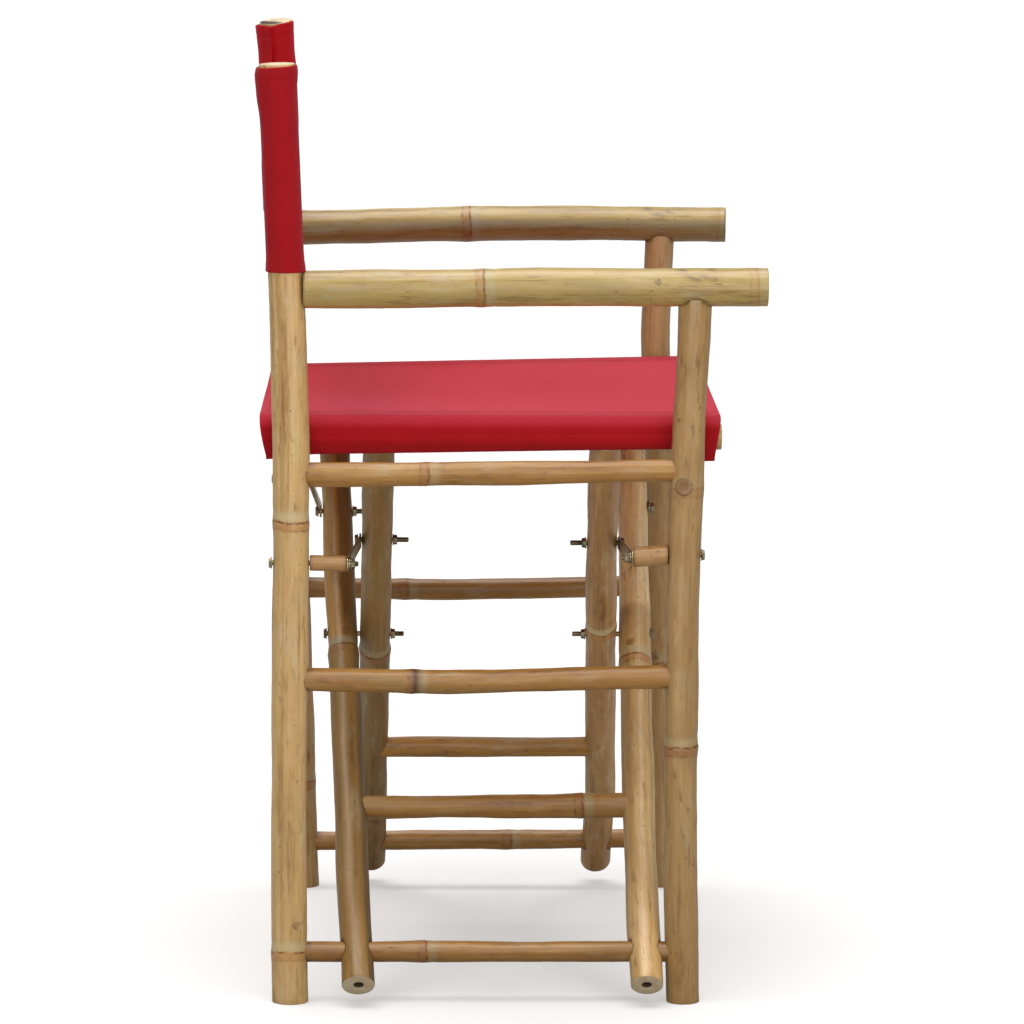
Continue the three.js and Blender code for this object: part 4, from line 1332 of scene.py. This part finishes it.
def sleeve(side):
    """The canvas loop round a rear post, closed towards the panel."""
    post = LINES[f"{side}_rear_post"]
    inward = 1 if side == "near" else -1
    high = SLEEVE_TOP[side]
    heights = np.concatenate([np.linspace(BACK_LOW, BACK_LOW + 20 * MM, 16)[:-1],
                              np.linspace(BACK_LOW + 20 * MM, high - 24 * MM, 40)[:-1],
                              np.linspace(high - 24 * MM, high, 22)])
    angle = full_turn(SLEEVE_SIDES)
    grid = np.zeros((len(heights), SLEEVE_SIDES, 3))
    waves = soft_waves((len(heights), 1), 2.5, 95 + (side == "far"))[:, 0]
    for k, height in enumerate(heights):
        a, b, radius = post.at(height)
        half = sleeve_half(side, height)
        down = high - height
        if side == "near":
            wider = 1.2 * MM * bell(down - 26 * MM, 16 * MM)
            half = half + wider
            a = a - 0.7 * MM * bell(down - 7 * MM, 14 * MM) - wider
        else:
            shift = -1.0 * MM + 1.6 * MM * min(down / (43 * MM), 1) * (1 - smoothstep(down, 0.09, 0.15))
            a = a + shift
            half = max(half, radius + 1.8 * MM + abs(shift))
        depth = radius + 1.5 * MM
        reach = 1 / np.sqrt((np.cos(angle) / half) ** 2 + (np.sin(angle) / depth) ** 2)
        joint = math.atan2(inward * PANEL_OUT, PANEL_SHIFT[side])
        joined = bell(turn_from(angle, joint), 0.3)
        reach = reach + (PANEL_OUT - depth) * joined
        crease = turn_from(angle, math.pi + 0.62 * inward)
        reach = reach + 0.5 * MM * bell(crease, 0.12) - 0.5 * MM * bell(crease - 0.3 * inward, 0.2)
        reach = reach + 0.25 * MM * waves[k] * np.cos(3 * angle + 1.1)
        reach = reach - 0.3 * MM * bell(down - HEM, 1.2 * MM)
        reach = reach - 0.25 * MM * bell(height - BACK_LOW - HEM, 1.2 * MM)
        slant = SLEEVE_SLANT[side] * smoothstep(height, high - 40 * MM, high)
        dip = 1.6 * MM * joined * smoothstep(height, high - 16 * MM, high) * (side == "far")
        grid[k, :, 0] = a + reach * np.cos(angle)
        grid[k, :, 1] = b + reach * np.sin(angle)
        grid[k, :, 2] = height + slant * reach * np.cos(angle) - dip
    cloth = Cloth()
    flat = np.stack(np.meshgrid(angle / (2 * math.pi) * SLEEVE_WAY_ROUND, heights, indexing="xy"), 2)
    cloth.layer(grid, flat, 1.0 * MM, round_way=True)
    normals = grid_normals(grid, True)
    for height in (BACK_LOW + HEM, high - HEM):
        row = row_at(heights, height)
        cloth.stitches(np.vstack([grid[row], grid[row, :1]]), np.vstack([normals[row], normals[row, :1]]))
    # The far sleeve's cloth is painted lighter than the near one's: painted light.
    piece = cloth.make(f"{side}_back_sleeve", fade=0.8 if side == "near" else 1.2)
    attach(piece, f"{side}_side_frame")


def back_panel():
    """The canvas between the sleeves, a little bowed, with turned hems along its top and bottom."""
    near, far = LINES["near_rear_post"], LINES["far_rear_post"]
    heights = np.concatenate([np.linspace(0, HEM, 8)[:-1], np.linspace(HEM, BACK_TALL - HEM, 30)[:-1],
                              np.linspace(BACK_TALL - HEM, BACK_TALL, 8)]) + BACK_LOW
    across = np.linspace(0, 1, 90)
    start_y, end_y = NEAR_Y + PANEL_OUT - 2.5 * MM, FAR_Y - PANEL_OUT + 2.5 * MM
    grid = np.zeros((len(heights), len(across), 3))
    for k, height in enumerate(heights):
        x_near, x_far = near.at(height)[0], far.at(height)[0]
        grid[k, :, 0] = lerp((x_near + PANEL_SHIFT["near"], x_far + PANEL_SHIFT["far"]), across)
        grid[k, :, 1] = lerp((start_y, end_y), across)
        droop = -1.2 * MM * np.sin(math.pi * across) * (1 if height > BACK_MIDDLE else -0.4)
        grid[k, :, 2] = height + droop
    grid[:, :, 0] += 0.4 * MM * soft_waves(grid.shape[:2], 3.0, 97) * np.sin(math.pi * across)
    cloth = Cloth()
    thick = 1.0 * MM + 0.3 * MM * ((heights < BACK_LOW + HEM) | (heights > BACK_HIGH - HEM))
    cloth.layer(grid, cloth_grid(grid), thick[:, None])
    normals = grid_normals(grid, False)
    for height in (BACK_LOW + HEM - 1.5 * MM, BACK_HIGH - HEM + 1.5 * MM):
        row = row_at(heights, height)
        cloth.stitches(grid[row], normals[row])
        cloth.stitches(grid[row] - normals[row] * 2.0 * MM, -normals[row])
    for col in (2, 4, len(across) - 5, len(across) - 3):
        cloth.stitches(grid[2:-2, col], normals[2:-2, col])
        cloth.stitches(grid[2:-2, col] - normals[2:-2, col] * 1.15 * MM, -normals[2:-2, col])
    piece = cloth.make("back_panel", fade=0.85, skin=PANEL_CANVAS)
    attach(piece, "near_side_frame")
    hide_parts("backrest_canvas")
    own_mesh(piece)


seat()
sleeve("near")
sleeve("far")
back_panel()


# ---------------------------------------------------------------- studio

def studio_floor():
    points = [(-40, -40, 0), (40, -40, 0), (40, 40, 0), (-40, 40, 0)]
    floor = make_object("studio_floor", points, [(0, 1, 2, 3)], [floor_material()], smooth=False)
    floor.location.z = -0.2 * MM


def aim(thing, way):
    thing.rotation_mode = "QUATERNION"
    thing.rotation_quaternion = Vector(way).to_track_quat("-Z", "Y")


def sun(name, way, level, spread):
    """Even light from one side. level 1 shows a white surface that faces it as full white."""
    light = bpy.data.lights.new(name, "SUN")
    light.energy = level * math.pi
    light.angle = math.radians(spread)
    aim(new_object(name, light), way)


def panel_light(name, place, target, size, power):
    light = bpy.data.lights.new(name, "AREA")
    light.shape = "RECTANGLE"
    light.size, light.size_y = size
    light.energy = power
    thing = new_object(name, light)
    thing.location = place
    aim(thing, Vector(target) - Vector(place))
    thing.visible_camera = False


def world_light(level, seen):
    """White light from all round at one level, shown to the camera at another."""
    world = bpy.data.worlds.new("studio")
    world.use_nodes = True
    shader = world.node_tree.nodes["Background"]
    put(shader.inputs["Strength"], camera_ray(world.node_tree).ramp(0.0, 1.0, level, seen))
    put(shader.inputs["Color"], (1, 1, 1))
    bpy.context.scene.world = world


def camera():
    """A long lens that looks at the chair's near side, a little from above, fitted to the photo."""
    lens = bpy.data.cameras.new("camera")
    lens.sensor_width = 36
    lens.lens = 236.73
    thing = new_object("camera", lens)
    pitch, yaw, roll = 0.147918, 0.031255, 0.0066414
    ahead = Vector((math.sin(yaw), math.cos(yaw), 0))
    right = Vector((math.cos(yaw), -math.sin(yaw), 0))
    look = math.cos(pitch) * ahead - math.sin(pitch) * Vector((0, 0, 1))
    up = math.sin(pitch) * ahead + math.cos(pitch) * Vector((0, 0, 1))
    right, up = (math.cos(roll) * right + math.sin(roll) * up, -math.sin(roll) * right + math.cos(roll) * up)
    turn = Matrix((right, up, -look)).transposed().to_4x4()
    thing.matrix_world = Matrix.Translation((-0.17754 + X_SHIFT, -6.46435, 1.38854)) @ turn
    bpy.context.scene.camera = thing


studio_floor()
world_light(0.30, 0.99)
sun("top_light", (0.08, -0.02, -1), 1.08, 55)
panel_light("near_panel", (0.2, -1.6, 1.05), (0, -0.1, 0.55), (2.4, 1.3), 17)
panel_light("far_panel", (-0.7, 2.4, 1.5), (0, 0.2, 0.45), (1.6, 1.2), 8)
camera()
bpy.context.scene.view_settings.view_transform = "Standard"
bpy.context.scene.view_settings.look = "None"
